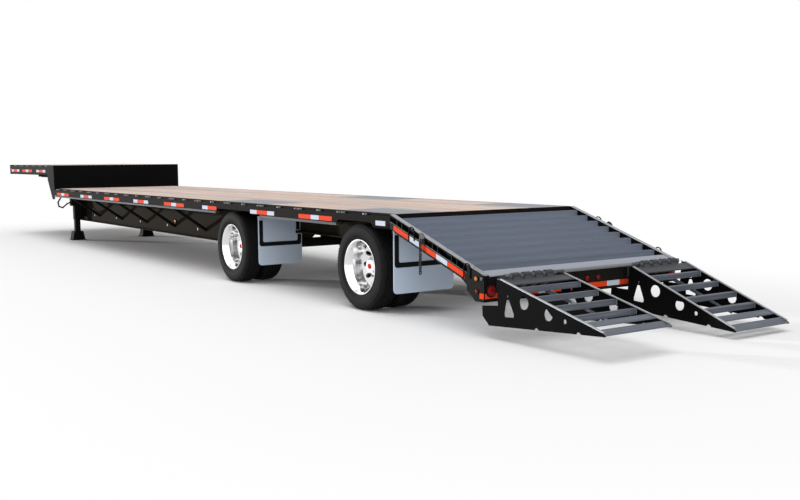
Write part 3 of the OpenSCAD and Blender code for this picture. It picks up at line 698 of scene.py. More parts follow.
ZINC = Steel("finish_zinc_heads", tone=(0.33, 0.33, 0.34), bright=(0.5, 0.5, 0.5), metal=0.85, gloss=0.36)
CHAIN = Steel(
    "finish_chain", tone=(0.012, 0.012, 0.012), bright=(0.045, 0.044, 0.043), metal=0.4, rusting=0.15
)
CLEAT = CleatSteel(
    "finish_cleat_steel",
    tone=(0.138, 0.165, 0.222),
    bright=(0.17, 0.198, 0.258),
    marks=MARKS_ACROSS,
    rusting=0.06,
    metal=0.15,
)
RAMP_BAR = RampSteel(
    "finish_ramp_bar", tone=(0.07, 0.078, 0.1), bright=(0.165, 0.182, 0.22), marks=MARKS_ACROSS, rusting=0.1
)
HINGE = HingeSteel("finish_hinge_steel", tone=(0.05, 0.052, 0.058), bright=(0.13, 0.135, 0.145), rusting=0.15)
RIM = Alloy("finish_polished_rim")
HUB = Alloy("finish_hub", gloss=0.16, iron_inside=SIZES.wheel_y - 0.02)
TYRE = Rubber("finish_tyre")
SPRING = Rubber("finish_air_spring", gloss=0.5)
FLAP = Rubber("finish_flap", tone=(0.5, 0.586, 0.7), dust=(0.56, 0.61, 0.68), gloss=0.5, pores=120.0)
BAND = Rubber("finish_flap_band", dusting=0.1, gloss=0.45)
GROMMET = Rubber("finish_lamp_grommet", dusting=0.15)
RED_LENS = Lens("finish_red_lens")
AMBER_LENS = Lens("finish_amber_lens", tone=(0.85, 0.30, 0.015), deep=(0.45, 0.12, 0.005))
CLEAR_LENS = Lens("finish_clear_lens", tone=(0.26, 0.26, 0.27), deep=(0.08, 0.08, 0.085))
RED_TAPE = Tape("finish_red_tape")
WHITE_TAPE = Tape("finish_white_tape", tone=(0.5, 0.55, 0.63), line=(0.36, 0.4, 0.47))


class Shape:
    """A mesh put together from turned and flat bodies, in metres."""

    def __init__(self) -> None:
        """Starts empty."""
        self.mesh = bmesh.new()

    def block(self, low: Point, high: Point) -> None:
        """A block between its lowest and its highest corner."""
        outline = ((low[0], low[1]), (high[0], low[1]), (high[0], high[1]), (low[0], high[1]))
        self.slab(outline, Axis.Z, low[2], high[2])

    def slab(self, outline: Outline, axis: Axis, low: float, high: float, bevel: float = 0.0) -> None:
        """A flat piece of any outline.

        Args:
            outline: its corners in the two other axes, in the order X, Y, Z.
            axis: the direction in which it is thick.
            low: where it starts along that axis.
            high: where it ends.
            bevel: width of its broken edges.
        """
        rings = []
        for level in (low, high):
            ring = []
            for pair in outline:
                place = list(pair)
                place.insert(axis.value, level)
                ring.append(self.mesh.verts.new(place))
            rings.append(ring)
        faces = [self.mesh.faces.new(rings[0]), self.mesh.faces.new(rings[1][::-1])]
        count = len(outline)
        for i in range(count):
            j = (i + 1) % count
            faces.append(self.mesh.faces.new((rings[0][j], rings[0][i], rings[1][i], rings[1][j])))
        bmesh.ops.recalc_face_normals(self.mesh, faces=faces)
        if bevel:
            edges = list({edge for face in faces for edge in face.edges})
            bmesh.ops.bevel(self.mesh, geom=edges, offset=bevel, segments=2, profile=0.5, affect="EDGES")

    def lathe(self, profile: Outline, centre: Point, axis: Axis, sign: float = 1.0, steps: int = 48) -> None:
        """A turned body.

        Args:
            profile: radius and height of each point, from radius 0 to radius 0 or as a closed ring.
            centre: where the height is 0.
            axis: the direction in which the height runs.
            sign: 1 or -1, which way the height grows.
            steps: number of facets.
        """
        first, second = ((1, 2), (2, 0), (0, 1))[axis.value]
        rings: list[list[bmesh.types.BMVert]] = []
        for radius, height in profile:
            ring = []
            for k in range(steps if radius else 1):
                turn = math.tau * k / steps
                place = list(centre)
                place[axis.value] += sign * height
                place[first] += radius * math.cos(turn)
                place[second] += radius * math.sin(turn)
                ring.append(self.mesh.verts.new(place))
            rings.append(ring)
        pairs = list(zip(rings, rings[1:]))
        if len(rings[0]) > 1:
            pairs.append((rings[-1], rings[0]))
        faces = []
        for low, high in pairs:
            for k in range(steps):
                j = k + 1
                corners = [low[k % len(low)], low[j % len(low)], high[j % len(high)], high[k % len(high)]]
                faces.append(self.mesh.faces.new(list(dict.fromkeys(corners))))
        bmesh.ops.recalc_face_normals(self.mesh, faces=faces)

    def data(self, name: str, crease: float = 32.0) -> bpy.types.Mesh:
        """The finished mesh.

        Args:
            name: its name.
            crease: angle in degrees past which an edge stays sharp.

        Returns:
            A mesh with smooth faces and sharp creases.
        """
        made = bpy.data.meshes.new(name)
        self.mesh.to_mesh(made)
        self.mesh.free()
        for face in made.polygons:
            face.use_smooth = True
        made.set_sharp_from_angle(angle=math.radians(crease))
        return made


Form = Union[Shape, bpy.types.Mesh]


class Repeats(Tree):
    """A node tree that sets one small form on every point of a piece."""

    def __init__(self, name: str, sizes: Mapping[str, str]) -> None:
        """Makes the tree and its named inputs.

        Args:
            name: the tree's name.
            sizes: each input's name and socket type.
        """
        tree = bpy.data.node_groups.new(name, "GeometryNodeTree")
        super().__init__(tree)
        face = tree.interface
        face.new_socket("Points", in_out="INPUT", socket_type="NodeSocketGeometry")
        for label, kind in {**sizes, "Seed": "NodeSocketInt", "Finish": "NodeSocketMaterial"}.items():
            face.new_socket(label, in_out="INPUT", socket_type=kind)
        face.new_socket("Geometry", in_out="OUTPUT", socket_type="NodeSocketGeometry")
        self.start = self.node("NodeGroupInput").socket.node

    def size(self, label: str) -> Value:
        """A named input of the tree."""
        return Value(self, self.start.outputs[label])

    def turned(self, angles: Any) -> Value:
        """A rotation by three angles."""
        return self.node("FunctionNodeEulerToRotation", {0: angles})

    def spun(self, angle: Value) -> Value:
        """A rotation about Z."""
        return self.turned(self.node("ShaderNodeCombineXYZ", {2: angle}))

    def spread(self, at: Value, form: Value, turn: Value) -> Value:
        """Copies of a form at points, with a rotation, as plain geometry."""
        copies = self.node("GeometryNodeInstanceOnPoints", {"Points": at, "Instance": form, "Rotation": turn})
        return self.node("GeometryNodeRealizeInstances", {0: copies})

    def close(self, form: Value, turn: Value) -> None:
        """Sets the form on the points and ends the tree.

        Args:
            form: the small form.
            turn: its rotation.
        """
        real = self.spread(self.size("Points"), form, turn)
        dressed = self.node("GeometryNodeSetMaterial", {0: real, "Material": self.size("Finish")})
        self.node("NodeGroupOutput", {0: dressed})

    def grow(
        self, name: str, points: Sequence[Point], finish: Finish, sizes: Mapping[str, Any]
    ) -> bpy.types.Mesh:
        """Runs the tree on a list of points.

        Args:
            name: the new mesh's name.
            points: where the form goes.
            finish: its finish.
            sizes: the tree's inputs, by name.

        Returns:
            A plain mesh.
        """
        seeds = bpy.data.meshes.new(name + "_points")
        seeds.from_pydata(list(points), [], [])
        holder = bpy.data.objects.new(name + "_points", seeds)
        bpy.context.scene.collection.objects.link(holder)
        change = holder.modifiers.new("repeats", "NODES")
        change.node_group = self.tree
        values = {**sizes, "Finish": finish.material()}
        for item in self.tree.interface.items_tree:
            if item.in_out == "INPUT" and item.name in values:
                change[item.identifier] = values[item.name]
        graph = bpy.context.evaluated_depsgraph_get()
        made = bpy.data.meshes.new_from_object(holder.evaluated_get(graph))
        made.name = name
        holder.modifiers.remove(change)
        bpy.data.objects.remove(holder)
        return made


@dataclass(frozen=True)
class HeadSize:
    """A fastener: its kind, the seed of its turns, and the radius and height of its flange, head and tip."""

    kind: Head
    seed: int
    flange: Pair
    head: Pair = (0.0, 0.0)
    tip: Pair = (0.0, 0.0)
    sides: int = 6

    def inputs(self) -> dict[str, Any]:
        """The sizes by the names of the tree's inputs.

        Returns:
            A value for each input.
        """
        values: dict[str, Any] = {"Sides": self.sides, "Seed": self.seed}
        for step, (radius, height) in (("Flange", self.flange), ("Head", self.head), ("Tip", self.tip)):
            values[f"{step} Radius"] = radius
            values[f"{step} Height"] = height
        return values


DECK_SCREW = HeadSize(Head.SCREW, 3, (0.0085, 0.0016))
WHEEL_NUT = HeadSize(Head.NUT, 11, (0.023, 0.004), (0.019, 0.022), (0.0105, 0.012))
CAP_SCREW = HeadSize(Head.BOLT, 5, (0.0085, 0.002), (0.0068, 0.006))
FLAP_BOLT = HeadSize(Head.BOLT, 7, (0.016, 0.002), (0.0095, 0.0065))


class Fasteners(Repeats):
    """Screws, bolts and nuts with a chamfered head, each turned at random about its own axis."""

    tapers = {"Flange": 0.9, "Head": 0.94, "Tip": 0.86}
    flange_sides = 12
    tip_sides = 10

    def __init__(self, kind: Head) -> None:
        """Builds the tree of one kind.

        Args:
            kind: the kind of fastener.
        """
        lengths = [f"{step} {way}" for step in self.tapers for way in ("Radius", "Height")]
        sizes = dict.fromkeys(lengths, "NodeSocketFloat")
        sizes.update({"Sides": "NodeSocketInt", "Turn": "NodeSocketVector"})
        super().__init__("heads_" + kind.value, sizes)
        forms = [self._cone("Flange", self.flange_sides)]
        if kind is not Head.SCREW:
            forms.append(self._cone("Head", self.size("Sides"), "Flange"))
        if kind is Head.NUT:
            forms.append(self._cone("Tip", self.tip_sides, "Flange", "Head"))
        joined = self.node("GeometryNodeJoinGeometry")
        for form in reversed(forms):
            self.tree.links.new(form.socket, joined.socket.node.inputs[0])
        limits = {2: 0.0, 3: math.tau, "Seed": self.size("Seed")}
        own = self.spun(self.node("FunctionNodeRandomValue", limits, {"data_type": "FLOAT"}, 1))
        inputs = {0: self.turned(self.size("Turn")), 1: own}
        both = self.node("FunctionNodeRotateRotation", inputs, {"rotation_space": "LOCAL"})
        self.close(joined, both)

    def _cone(self, step: str, sides: Any, *below: str) -> Value:
        """One step of a head, which narrows by its taper.

        Args:
            step: the step's name.
            sides: number of sides.
            *below: the steps under it.

        Returns:
            The step's geometry.
        """
        wide = self.size(f"{step} Radius")
        inputs = {"Vertices": sides, "Radius Top": wide * self.tapers[step], "Radius Bottom": wide}
        cone = self.node("GeometryNodeMeshCone", {**inputs, "Depth": self.size(f"{step} Height")})
        if not below:
            return cone
        rise: Number = 0.0
        for under in below:
            rise = self.size(f"{under} Height") + rise
        place = self.node("ShaderNodeCombineXYZ", {2: rise})
        return self.node("GeometryNodeTransform", {0: cone, "Translation": place})


class Ridges(Repeats):
    """A ring of small ridges about Y on every point, as on a tyre's shoulder."""

    def __init__(self) -> None:
        """Builds the tree."""
        sizes = {"Count": "NodeSocketInt", "Radius": "NodeSocketFloat", "Ridge": "NodeSocketVector"}
        super().__init__("shoulder_ridges", sizes)
        inputs = {"Vertices": self.size("Count"), "Radius": self.size("Radius")}
        circle = self.node("GeometryNodeMeshCircle", inputs)
        block = self.node("GeometryNodeMeshCube", {"Size": self.size("Ridge")})
        angle = self.node("GeometryNodeInputIndex") * math.tau / self.size("Count")
        ring = self.spread(circle, block, self.spun(angle))
        self.close(ring, self.turned((math.pi / 2, 0.0, 0.0)))


class Workshop:
    """The frame, and the ways to dress its nodes and to add pieces."""

    def __init__(self) -> None:
        """Loads the frame and makes the trees for what repeats."""
        self.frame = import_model()
        self.cad_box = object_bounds()
        self.heads = {kind: Fasteners(kind) for kind in Head}
        self.ridges = Ridges()

    def dress(self, finish: Finish, *nodes: str) -> None:
        """Gives a finish to nodes of the frame.

        Args:
            finish: the finish.
            *nodes: their names.
        """
        for node in nodes:
            data = self.frame["nodes"][node].data
            data.materials.clear()
            data.materials.append(finish.material())
            LOG.info("dressed %s with %s", node, finish.name)

    def add(
        self, name: str, form: Form, finish: Finish, body: str, slot: str, stands_for: Sequence[str] = ()
    ) -> None:
        """Adds a piece that rides on a body.

        Args:
            name: the piece's name.
            form: its shape or mesh, in place.
            finish: its finish.
            body: the body that it moves with.
            slot: the record's material slot; not used.
            stands_for: the nodes that it replaces.
        """
        data = form.data(name) if isinstance(form, Shape) else form
        data.materials.clear()
        data.materials.append(finish.material())
        piece = bpy.data.objects.new(name, data)
        bpy.context.scene.collection.objects.link(piece)
        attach(piece, body)
        if stands_for:
            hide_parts(*stands_for)
        LOG.info("added %s: %d faces", name, len(data.polygons))

    def fasten(
        self, name: str, size: HeadSize, at: Sequence[Point], finish: Finish, body: str, turn: Point = ORIGIN
    ) -> None:
        """Adds fasteners on points as one piece.

        Args:
            name: the piece's name.
            size: the fastener.
            at: where each one sits.
            finish: their finish.
            body: the body that they move with.
            turn: the angles that turn their heads from looking up.
        """
        data = self.heads[size.kind].grow(name, at, finish, {**size.inputs(), "Turn": turn})
        self.add(name, data, finish, body, "fitting_steel")


@dataclass
class Assembly:
    """A sub-assembly and the workshop that it is built in."""

    shop: Workshop

    def build(self) -> None:
        """Builds its meshes and dresses them."""
        raise NotImplementedError


@dataclass
class Deck(Assembly):
    """The boards, the steel plates over the tyres and their screws."""

    pitch: float = 0.413
    first: float = 0.030
    rows: int = 27
    upper_rows: int = 7
    upper_start: float = 0.058
    upper_run: float = 3.105
    well_front: Pair = (SIZES.front_axle_x - 0.88, SIZES.front_axle_x + 0.4)
    well_rear: float = SIZES.rear_axle_x + 0.4
    well_margin: float = 0.05
    outer_boards: int = 4
    stagger: Pair = (0.016, 0.036)

    def build(self) -> None:
        """Dresses the boards and sets two screws in each of them at every crossmember."""
        self.shop.dress(WOOD, "deck_boards", "upper_boards")
        self.shop.dress(DECK_STEEL, "wheel_plates")
        lower = [SIZES.wall_x - self.first - self.pitch * k for k in range(self.rows)]
        step = self.upper_run / self.upper_rows
        upper = [SIZES.wall_x + self.upper_start + (k + 0.5) * step for k in range(self.upper_rows)]
        points: list[Point] = []
        ahead, aside = self.stagger
        for x, z in [(x, SIZES.deck_z) for x in lower] + [(x, SIZES.upper_z) for x in upper]:
            for row in range(SIZES.boards):
                if self._over_wheels(row, x):
                    continue
                y = (row + 0.5) * SIZES.board() - SIZES.edge_y
                points += [(x + ahead, y - aside, z), (x - ahead, y + aside, z)]
        self.shop.fasten("deck_screws", DECK_SCREW, points, ZINC, "frame")

    def _over_wheels(self, row: int, x: float) -> bool:
        """Whether a board's place is taken by a steel plate.

        Args:
            row: the board's number from the right.
            x: the place along the deck.

        Returns:
            True over the tyres.
        """
        outer = row < self.outer_boards or row >= SIZES.boards - self.outer_boards
        low, high = self.well_front
        margin = self.well_margin
        return outer and (low - margin < x < high + margin or x < self.well_rear + margin)


@dataclass
class Tapes(Assembly):
    """Strips of red and white reflecting tape; a group is its front end and the letters of its colours."""

    red: float = 0.279
    white: float = 0.178
    height: float = 0.05
    thick: float = 0.0012
    gap: float = 0.001
    lower_z: float = 0.9575
    upper_z: float = 1.390
    lower: tuple[tuple[float, str], ...] = (
        (5.3535, "RWR"),
        (3.9195, "WRW"),
        (2.6335, "RWR"),
        (1.2415, "WRW"),
        (-0.0265, "RWR"),
        (-1.3955, "WR"),
        (-2.8435, "WRW"),
        (-4.0715, "RWR"),
        (-5.6625, "W"),
    )
    upper: tuple[tuple[float, str], ...] = ((8.66, "WRW"), (7.79, "RWR"), (6.72, "WRW"))
    tail_start: float = -5.985
    tail_drop: float = 0.110
    tail_pattern: str = "RWRWR"
    rear_z: float = 0.384
    rear_start: float = 1.285
    rear_first: float = 0.194
    rear_pattern: str = "RWRWRWRWRWRW"
    wrap: Pair = (0.004, 0.06)

    def build(self) -> None:
        """Lays the strips and adds one piece of each colour."""
        shapes = {tint: Shape() for tint in Tint}
        groups = [(x, self.lower_z, pattern, 0.0) for x, pattern in self.lower]
        groups += [(x, self.upper_z, pattern, 0.0) for x, pattern in self.upper]
        tail_z = SIZES.tail_z(self.tail_start) - self.tail_drop
        groups.append((self.tail_start, tail_z, self.tail_pattern, SIZES.tail_slope()))
        for side in SIDES:
            for x, z, pattern, slope in groups:
                self._run(shapes, x, z, pattern, side, slope)
        self._rear(shapes)
        self.shop.add("red_tape", shapes[Tint.RED], RED_TAPE, "frame", "red_lens")
        self.shop.add("white_tape", shapes[Tint.WHITE], WHITE_TAPE, "frame", "track_grey")

    def _length(self, tint: Tint) -> float:
        """Length of one strip."""
        return self.red if tint is Tint.RED else self.white

    def _skin(self, side: int) -> list[float]:
        """Where tape on a side starts and ends across."""
        return sorted((side * SIZES.half, side * (SIZES.half + self.thick)))

    def _run(
        self, shapes: Mapping[Tint, Shape], x: float, z: float, pattern: str, side: int, slope: float
    ) -> None:
        """A group of strips that runs back along a side.

        Args:
            shapes: the meshes, by colour.
            x: front end.
            z: height of the middle at the front end.
            pattern: letters of the colours.
            side: 1 for left and -1 for right.
            slope: fall for each metre along X.
        """
        along = math.hypot(1.0, slope)
        half = self.height / 2
        for letter in pattern:
            tint = Tint(letter)
            end = x - self._length(tint) / along
            end_z = z - (x - end) * slope
            front, back = x - self.gap, end + self.gap
            outline = ((back, end_z - half), (front, z - half), (front, z + half), (back, end_z + half))
            shapes[tint].slab(outline, Axis.Y, *self._skin(side))
            x, z = end, end_z

    def _rear(self, shapes: Mapping[Tint, Shape]) -> None:
        """Strips across the rear face from the left, the first of them cut short, and round its corners.

        Args:
            shapes: the meshes, by colour.
        """
        y = self.rear_start
        low_z = self.rear_z - self.height / 2
        high_z = self.rear_z + self.height / 2
        for k, letter in enumerate(self.rear_pattern):
            tint = Tint(letter)
            end = max(-self.rear_start, y - (self._length(tint) if k else self.rear_first))
            low = (SIZES.end_x - self.thick, end + self.gap, low_z)
            shapes[tint].block(low, (SIZES.end_x, y - self.gap, high_z))
            y = end
        for side in SIDES:
            inner, outer = self._skin(side)
            low = (SIZES.end_x + self.wrap[0], inner, low_z)
            shapes[Tint.RED].block(low, (SIZES.end_x + self.wrap[1], outer, high_z))


@dataclass(frozen=True)
class Lamp:
    """A round lamp: its lens, the middle of its back on the left side, its axis, its radius and its depth."""

    glass: Glass
    at: Point
    axis: Axis
    radius: float
    deep: float


@dataclass
class Lamps(Assembly):
    """Round lamps: a domed lens in a rubber grommet, both given in shares of radius and depth."""

    paired: tuple[Lamp, ...] = (
        Lamp(Glass.RED, (SIZES.end_x, 1.2175, 0.430), Axis.X, 0.058, 0.028),
        Lamp(Glass.RED, (SIZES.end_x + 0.095, SIZES.half, 0.422), Axis.Y, 0.024, 0.014),
        Lamp(Glass.AMBER, (SIZES.end_x + 0.105, SIZES.half, 0.536), Axis.Y, 0.024, 0.014),
        Lamp(Glass.AMBER, (SIZES.nose_x - 0.13, SIZES.half, 1.424), Axis.Y, 0.024, 0.014),
        Lamp(Glass.CLEAR, (SIZES.end_x + 0.03, SIZES.half, 0.541), Axis.Y, 0.019, 0.011),
        Lamp(Glass.AMBER, (1.3036, SIZES.beam_y + 0.005, 0.590), Axis.Y, 0.038, 0.026),
    )
    middle: tuple[Lamp, ...] = tuple(
        Lamp(Glass.RED, (SIZES.end_x, y, 0.455), Axis.X, 0.030, 0.016) for y in (-0.15, 0.0, 0.15)
    )
    inner: float = 0.84
    collar: Outline = ((0.84, 0.0), (1.0, 0.0), (1.0, 0.4), (0.97, 0.56), (0.91, 0.62), (0.84, 0.55))
    dome: Outline = (
        (0.0, 0.0), (0.98, 0.0), (0.98, 0.6), (0.93, 0.78), (0.8, 0.86),
        (0.78, 0.83), (0.74, 0.88), (0.5, 0.95), (0.25, 0.99), (0.0, 1.0),
    )
    steps: int = 40

    def build(self) -> None:
        """Makes the lamps, the red and amber ones in place of their plain solids."""
        lenses = {glass: Shape() for glass in Glass}
        rubber = Shape()
        for side in SIDES:
            for lamp in self.paired:
                self._lamp(lenses, rubber, lamp, side)
        for lamp in self.middle:
            self._lamp(lenses, rubber, lamp, 1)
        self.shop.add("red_lenses", lenses[Glass.RED], RED_LENS, "frame", "red_lens", ["red_lamps"])
        self.shop.add("amber_lenses", lenses[Glass.AMBER], AMBER_LENS, "frame", "amber_lens", ["amber_lamps"])
        self.shop.add("clear_lenses", lenses[Glass.CLEAR], CLEAR_LENS, "frame", "fitting_steel")
        self.shop.add("lamp_grommets", rubber, GROMMET, "frame", "spring_rubber")

    def _lamp(self, lenses: Mapping[Glass, Shape], rubber: Shape, lamp: Lamp, side: int) -> None:
        """One lamp, which looks back or to its side.

        Args:
            lenses: the meshes of the lenses, by colour.
            rubber: the mesh of the grommets.
            lamp: the lamp.
            side: 1 for left and -1 for right.
        """
        x, y, z = lamp.at
        at = (x, side * y, z)
        sign = side if lamp.axis is Axis.Y else -1
        collar = [(radius * lamp.radius, height * lamp.deep) for radius, height in self.collar]
        rubber.lathe(collar, at, lamp.axis, sign, self.steps)
        wide = lamp.radius * self.inner
        dome = [(radius * wide, height * lamp.deep) for radius, height in self.dome]
        lenses[lamp.glass].lathe(dome, at, lamp.axis, sign, self.steps)


@dataclass
class Wheels(Assembly):
    """Tyres, nuts and hub caps of the four dual wheels; half a tyre is given by radius and width."""

    tyre_half: Outline = (
        (0.2855, 0.0965), (0.2925, 0.1030), (0.3020, 0.1085), (0.3130, 0.1142), (0.3290, 0.1206),
        (0.3400, 0.1238), (0.3425, 0.1262), (0.3475, 0.1266), (0.3500, 0.1250), (0.3620, 0.1266),
        (0.3780, 0.1275), (0.3930, 0.1266), (0.4070, 0.1242), (0.4180, 0.1208), (0.4205, 0.1214),
        (0.4265, 0.1194), (0.4290, 0.1166), (0.4380, 0.1126), (0.4475, 0.1076), (0.4550, 0.1020),
        (0.4602, 0.0952), (0.4628, 0.0880), (0.4633, 0.0700), (0.4622, 0.0688), (0.4520, 0.0676),
        (0.4520, 0.0604), (0.4628, 0.0592), (0.4638, 0.0580), (0.4640, 0.0280), (0.4630, 0.0268),
        (0.4520, 0.0256), (0.4520, 0.0184), (0.4630, 0.0172), (0.4640, 0.0160),
    )
    steps: int = 112
    ridges: int = 84
    ridge_radius: float = 0.4535
    ridge_size: Point = (0.011, 0.006, 0.016)
    shoulder: float = 0.1005
    nuts: int = 10
    nut_circle: float = 0.1429
    disc_face: float = 0.022
    plug: Outline = (
        (0.0, -0.004), (0.029, -0.004), (0.029, 0.004), (0.027, 0.008),
        (0.021, 0.009), (0.019, 0.007), (0.012, 0.0075), (0.0, 0.008),
    )
    plug_face: float = 0.140
    screws: int = 6
    screw_circle: float = 0.0872
    screw_face: float = 0.0925

    def build(self) -> None:
        """Dresses the rims and hubs and adds tyres, nuts and caps to each wheel."""
        for wheel in WHEELS:
            self.shop.dress(RIM, f"rims_{wheel.name}")
            self.shop.dress(HUB, f"hub_{wheel.name}")
            self._tyres(wheel)
            self._hub(wheel)

    def _tyres(self, wheel: Wheel) -> None:
        """The two tyres of a wheel, with ridges on their shoulders.

        Args:
            wheel: the wheel.
        """
        profile = list(self.tyre_half) + [(radius, -y) for radius, y in reversed(self.tyre_half)]
        shape = Shape()
        shoulders = []
        for offset in (-SIZES.dual / 2, SIZES.dual / 2):
            y = wheel.side * SIZES.wheel_y + offset
            shape.lathe(profile, (wheel.x, y, SIZES.axle_z), Axis.Y, 1.0, self.steps)
            shoulders += [(wheel.x, y + out, SIZES.axle_z) for out in (-self.shoulder, self.shoulder)]
        name, body = wheel.name, f"wheel_{wheel.name}"
        self.shop.add(f"tyre_pair_{name}", shape, TYRE, body, "tyre", [f"tyres_{name}"])
        sizes = {"Count": self.ridges, "Radius": self.ridge_radius, "Ridge": self.ridge_size}
        data = self.shop.ridges.grow(f"tyre_ridges_{name}", shoulders, TYRE, sizes)
        self.shop.add(f"tyre_ridges_{name}", data, TYRE, body, "tyre")

    def _hub(self, wheel: Wheel) -> None:
        """The flange nuts on the outer wheel's disc, the hub's red plug and its cap screws.

        Args:
            wheel: the wheel.
        """
        name, body = wheel.name, f"wheel_{wheel.name}"
        turn = (-wheel.side * math.pi / 2, 0.0, 0.0)
        nuts = wheel.ring(self.disc_face, self.nut_circle, self.nuts, 0.5)
        self.shop.fasten(f"wheel_nuts_{name}", WHEEL_NUT, nuts, FITTING, body, turn)
        plug = Shape()
        plug.lathe(self.plug, wheel.at(self.plug_face), Axis.Y, wheel.side)
        self.shop.add(f"hub_plug_{name}", plug, RED_CAP, body, "red_lens")
        screws = wheel.ring(self.screw_face, self.screw_circle, self.screws)
        self.shop.fasten(f"cap_screws_{name}", CAP_SCREW, screws, ZINC, body, turn)


@dataclass
class Flaps(Assembly):
    """Mud flaps with a black raised band, and their bolts; a pair is its axle and its two edges."""

    behind: float = 0.618
    pairs: tuple[Point, ...] = ((SIZES.front_axle_x, 0.545, 1.180), (SIZES.rear_axle_x, 0.465, 1.242))
    top: float = 0.888
    inset: float = 0.012
    wide: float = 0.052
    notch: Pair = (0.640, 0.696)
    web_side: float = 0.567
    low: float = 0.505
    thick: float = 0.0035
    band_drop: float = 0.05
    corner: float = 0.035
    inner_corner: float = 0.021
    facets: int = 6
    bolts: int = 5
    bolts_from: float = 0.680
    bolt_edge: float = 0.05
    bolt_drop: float = 0.02

    def build(self) -> None:
        """Dresses the flaps and lays a band and bolts on each."""
        self.shop.dress(FLAP, "mud_flaps")
        self.shop.dress(BLACK, "flap_hangers")
        shape = Shape()
        points = []
        for axle, inner, outer in self.pairs:
            x = axle - self.behind
            step = (outer - self.bolts_from - self.bolt_edge) / (self.bolts - 1)
            for side in SIDES:
                self._band(shape, x, inner + self.inset, outer - self.inset, side)
                for k in range(self.bolts):
                    points.append((x, side * (self.bolts_from + step * k), self.top - self.bolt_drop))
        self.shop.add("flap_bands", shape, BAND, "frame", "flap_rubber")
        self.shop.fasten("flap_bolts", FLAP_BOLT, points, ZINC, "frame", (0.0, -math.pi / 2, 0.0))

    def _band(self, shape: Shape, x: float, inner: float, outer: float, side: int) -> None:
        """A band down one edge, across and up the other, broken where the beam's flange passes.

        Args:
            shape: the mesh.
            x: the flap's rear face.
            inner: the band's inner edge.
            outer: its outer edge.
            side: 1 for left and -1 for right.
        """
        wide = self.wide
        low, high = self.notch
        top = self.top - self.band_drop
        outside = self._bow(inner, outer, self.low, self.corner)
        inside = self._bow(inner + wide, outer - wide, self.low + wide, self.inner_corner)
        bow = [(inner, low), *outside, (outer, top), (outer - wide, top), *inside[::-1], (inner + wide, low)]
        near = self.web_side + self.inset
        strip = [(near, high), (near + wide, high), (near + wide, top), (near, top)]
        for outline in (bow, strip):
            shape.slab([(side * y, z) for y, z in outline], Axis.X, x - self.thick, x)

    def _bow(self, left: float, right: float, low: float, radius: float) -> list[Pair]:
        """The lower edge of a band with its two round corners.

        Args:
            left: where one side stands.
            right: where the other stands.
            low: its height.
            radius: radius of the corners.

        Returns:
            The points from left to right.
        """
        points = []
        for middle, start in ((left + radius, math.pi), (right - radius, 1.5 * math.pi)):
            for k in range(self.facets + 1):
                turn = start + math.pi / 2 * k / self.facets
                points.append((middle + radius * math.cos(turn), low + radius + radius * math.sin(turn)))
        return points


@dataclass
class Frame(Assembly):
    """Beams, rails, nose, landing gear, suspension, beavertail and ramps."""

    looks: tuple[tuple[Finish, str], ...] = (
        (UNDERSIDE, "main_beams neck_beams upper_beams"),
        (UNDERSIDE, "coupler_plate suspension_hangers trailing_arms axles air_tank"),
        (BLACK, "crossmembers side_struts drop_side_plates nose_rail side_rails upper_rails rub_rails"),
        (BLACK, "landing_legs landing_feet landing_drive tail_beams tail_bumper"),
        (PANEL, "drop_panel"),
        (TRACK, "stake_pockets"),
        (LIP, "winch_tracks"),
        (FITTING, "nose_couplings kingpin"),
        (SPRING, "air_springs"),
        (TAIL_PAINT, "tail_rails"),
        (CLEAT, "tail_cleats"),
        (HINGE, "ramp_hinges"),
        (RAMP_BAR, "ramp_left_bars ramp_right_bars"),
        (RAMP_PAINT, "ramp_left_plates ramp_right_plates"),
        (CHAIN, "ramp_chains"),
    )
    plate_x: Pair = (SIZES.tail_x + 0.003, -5.62)
    plate_z: Pair = (0.904, 0.9579)
    plate_y: Pair = (1.2857, 1.2953)
    plate_slope: float = 0.05
    plate_bevel: float = 0.001

    def build(self) -> None:
        """Gives every node its finish and closes the rails' ends."""
        for finish, nodes in self.looks:
            self.shop.dress(finish, *nodes.split())
        self._rail_ends()

    def _rail_ends(self) -> None:
        """A plate under each rub rail behind the rear tyres, with a sloped front edge."""
        back, front = self.plate_x
        low, high = self.plate_z
        outline = ((front + self.plate_slope, high), (front, low), (back, low), (back, high))
        shape = Shape()
        for side in SIDES:
            inner, outer = sorted(side * y for y in self.plate_y)
            shape.slab(outline, Axis.Y, inner, outer, self.plate_bevel)
        self.shop.add("rail_end_plates", shape, BLACK, "frame", "frame_paint")


@dataclass(frozen=True)
class Sun:
    """A far lamp: where it shines from, its power on a square metre and its breadth in degrees."""

    name: str
    source: Point
    strength: float
    soft: float

    def build(self) -> None:
        """Adds the lamp."""
        data = bpy.data.lights.new(self.name, "SUN")
        data.energy = self.strength
        data.angle = math.radians(self.soft)
        lamp = bpy.data.objects.new(self.name, data)
        lamp.rotation_euler = Vector(self.source).to_track_quat("Z", "Y").to_euler()
        bpy.context.scene.collection.objects.link(lamp)


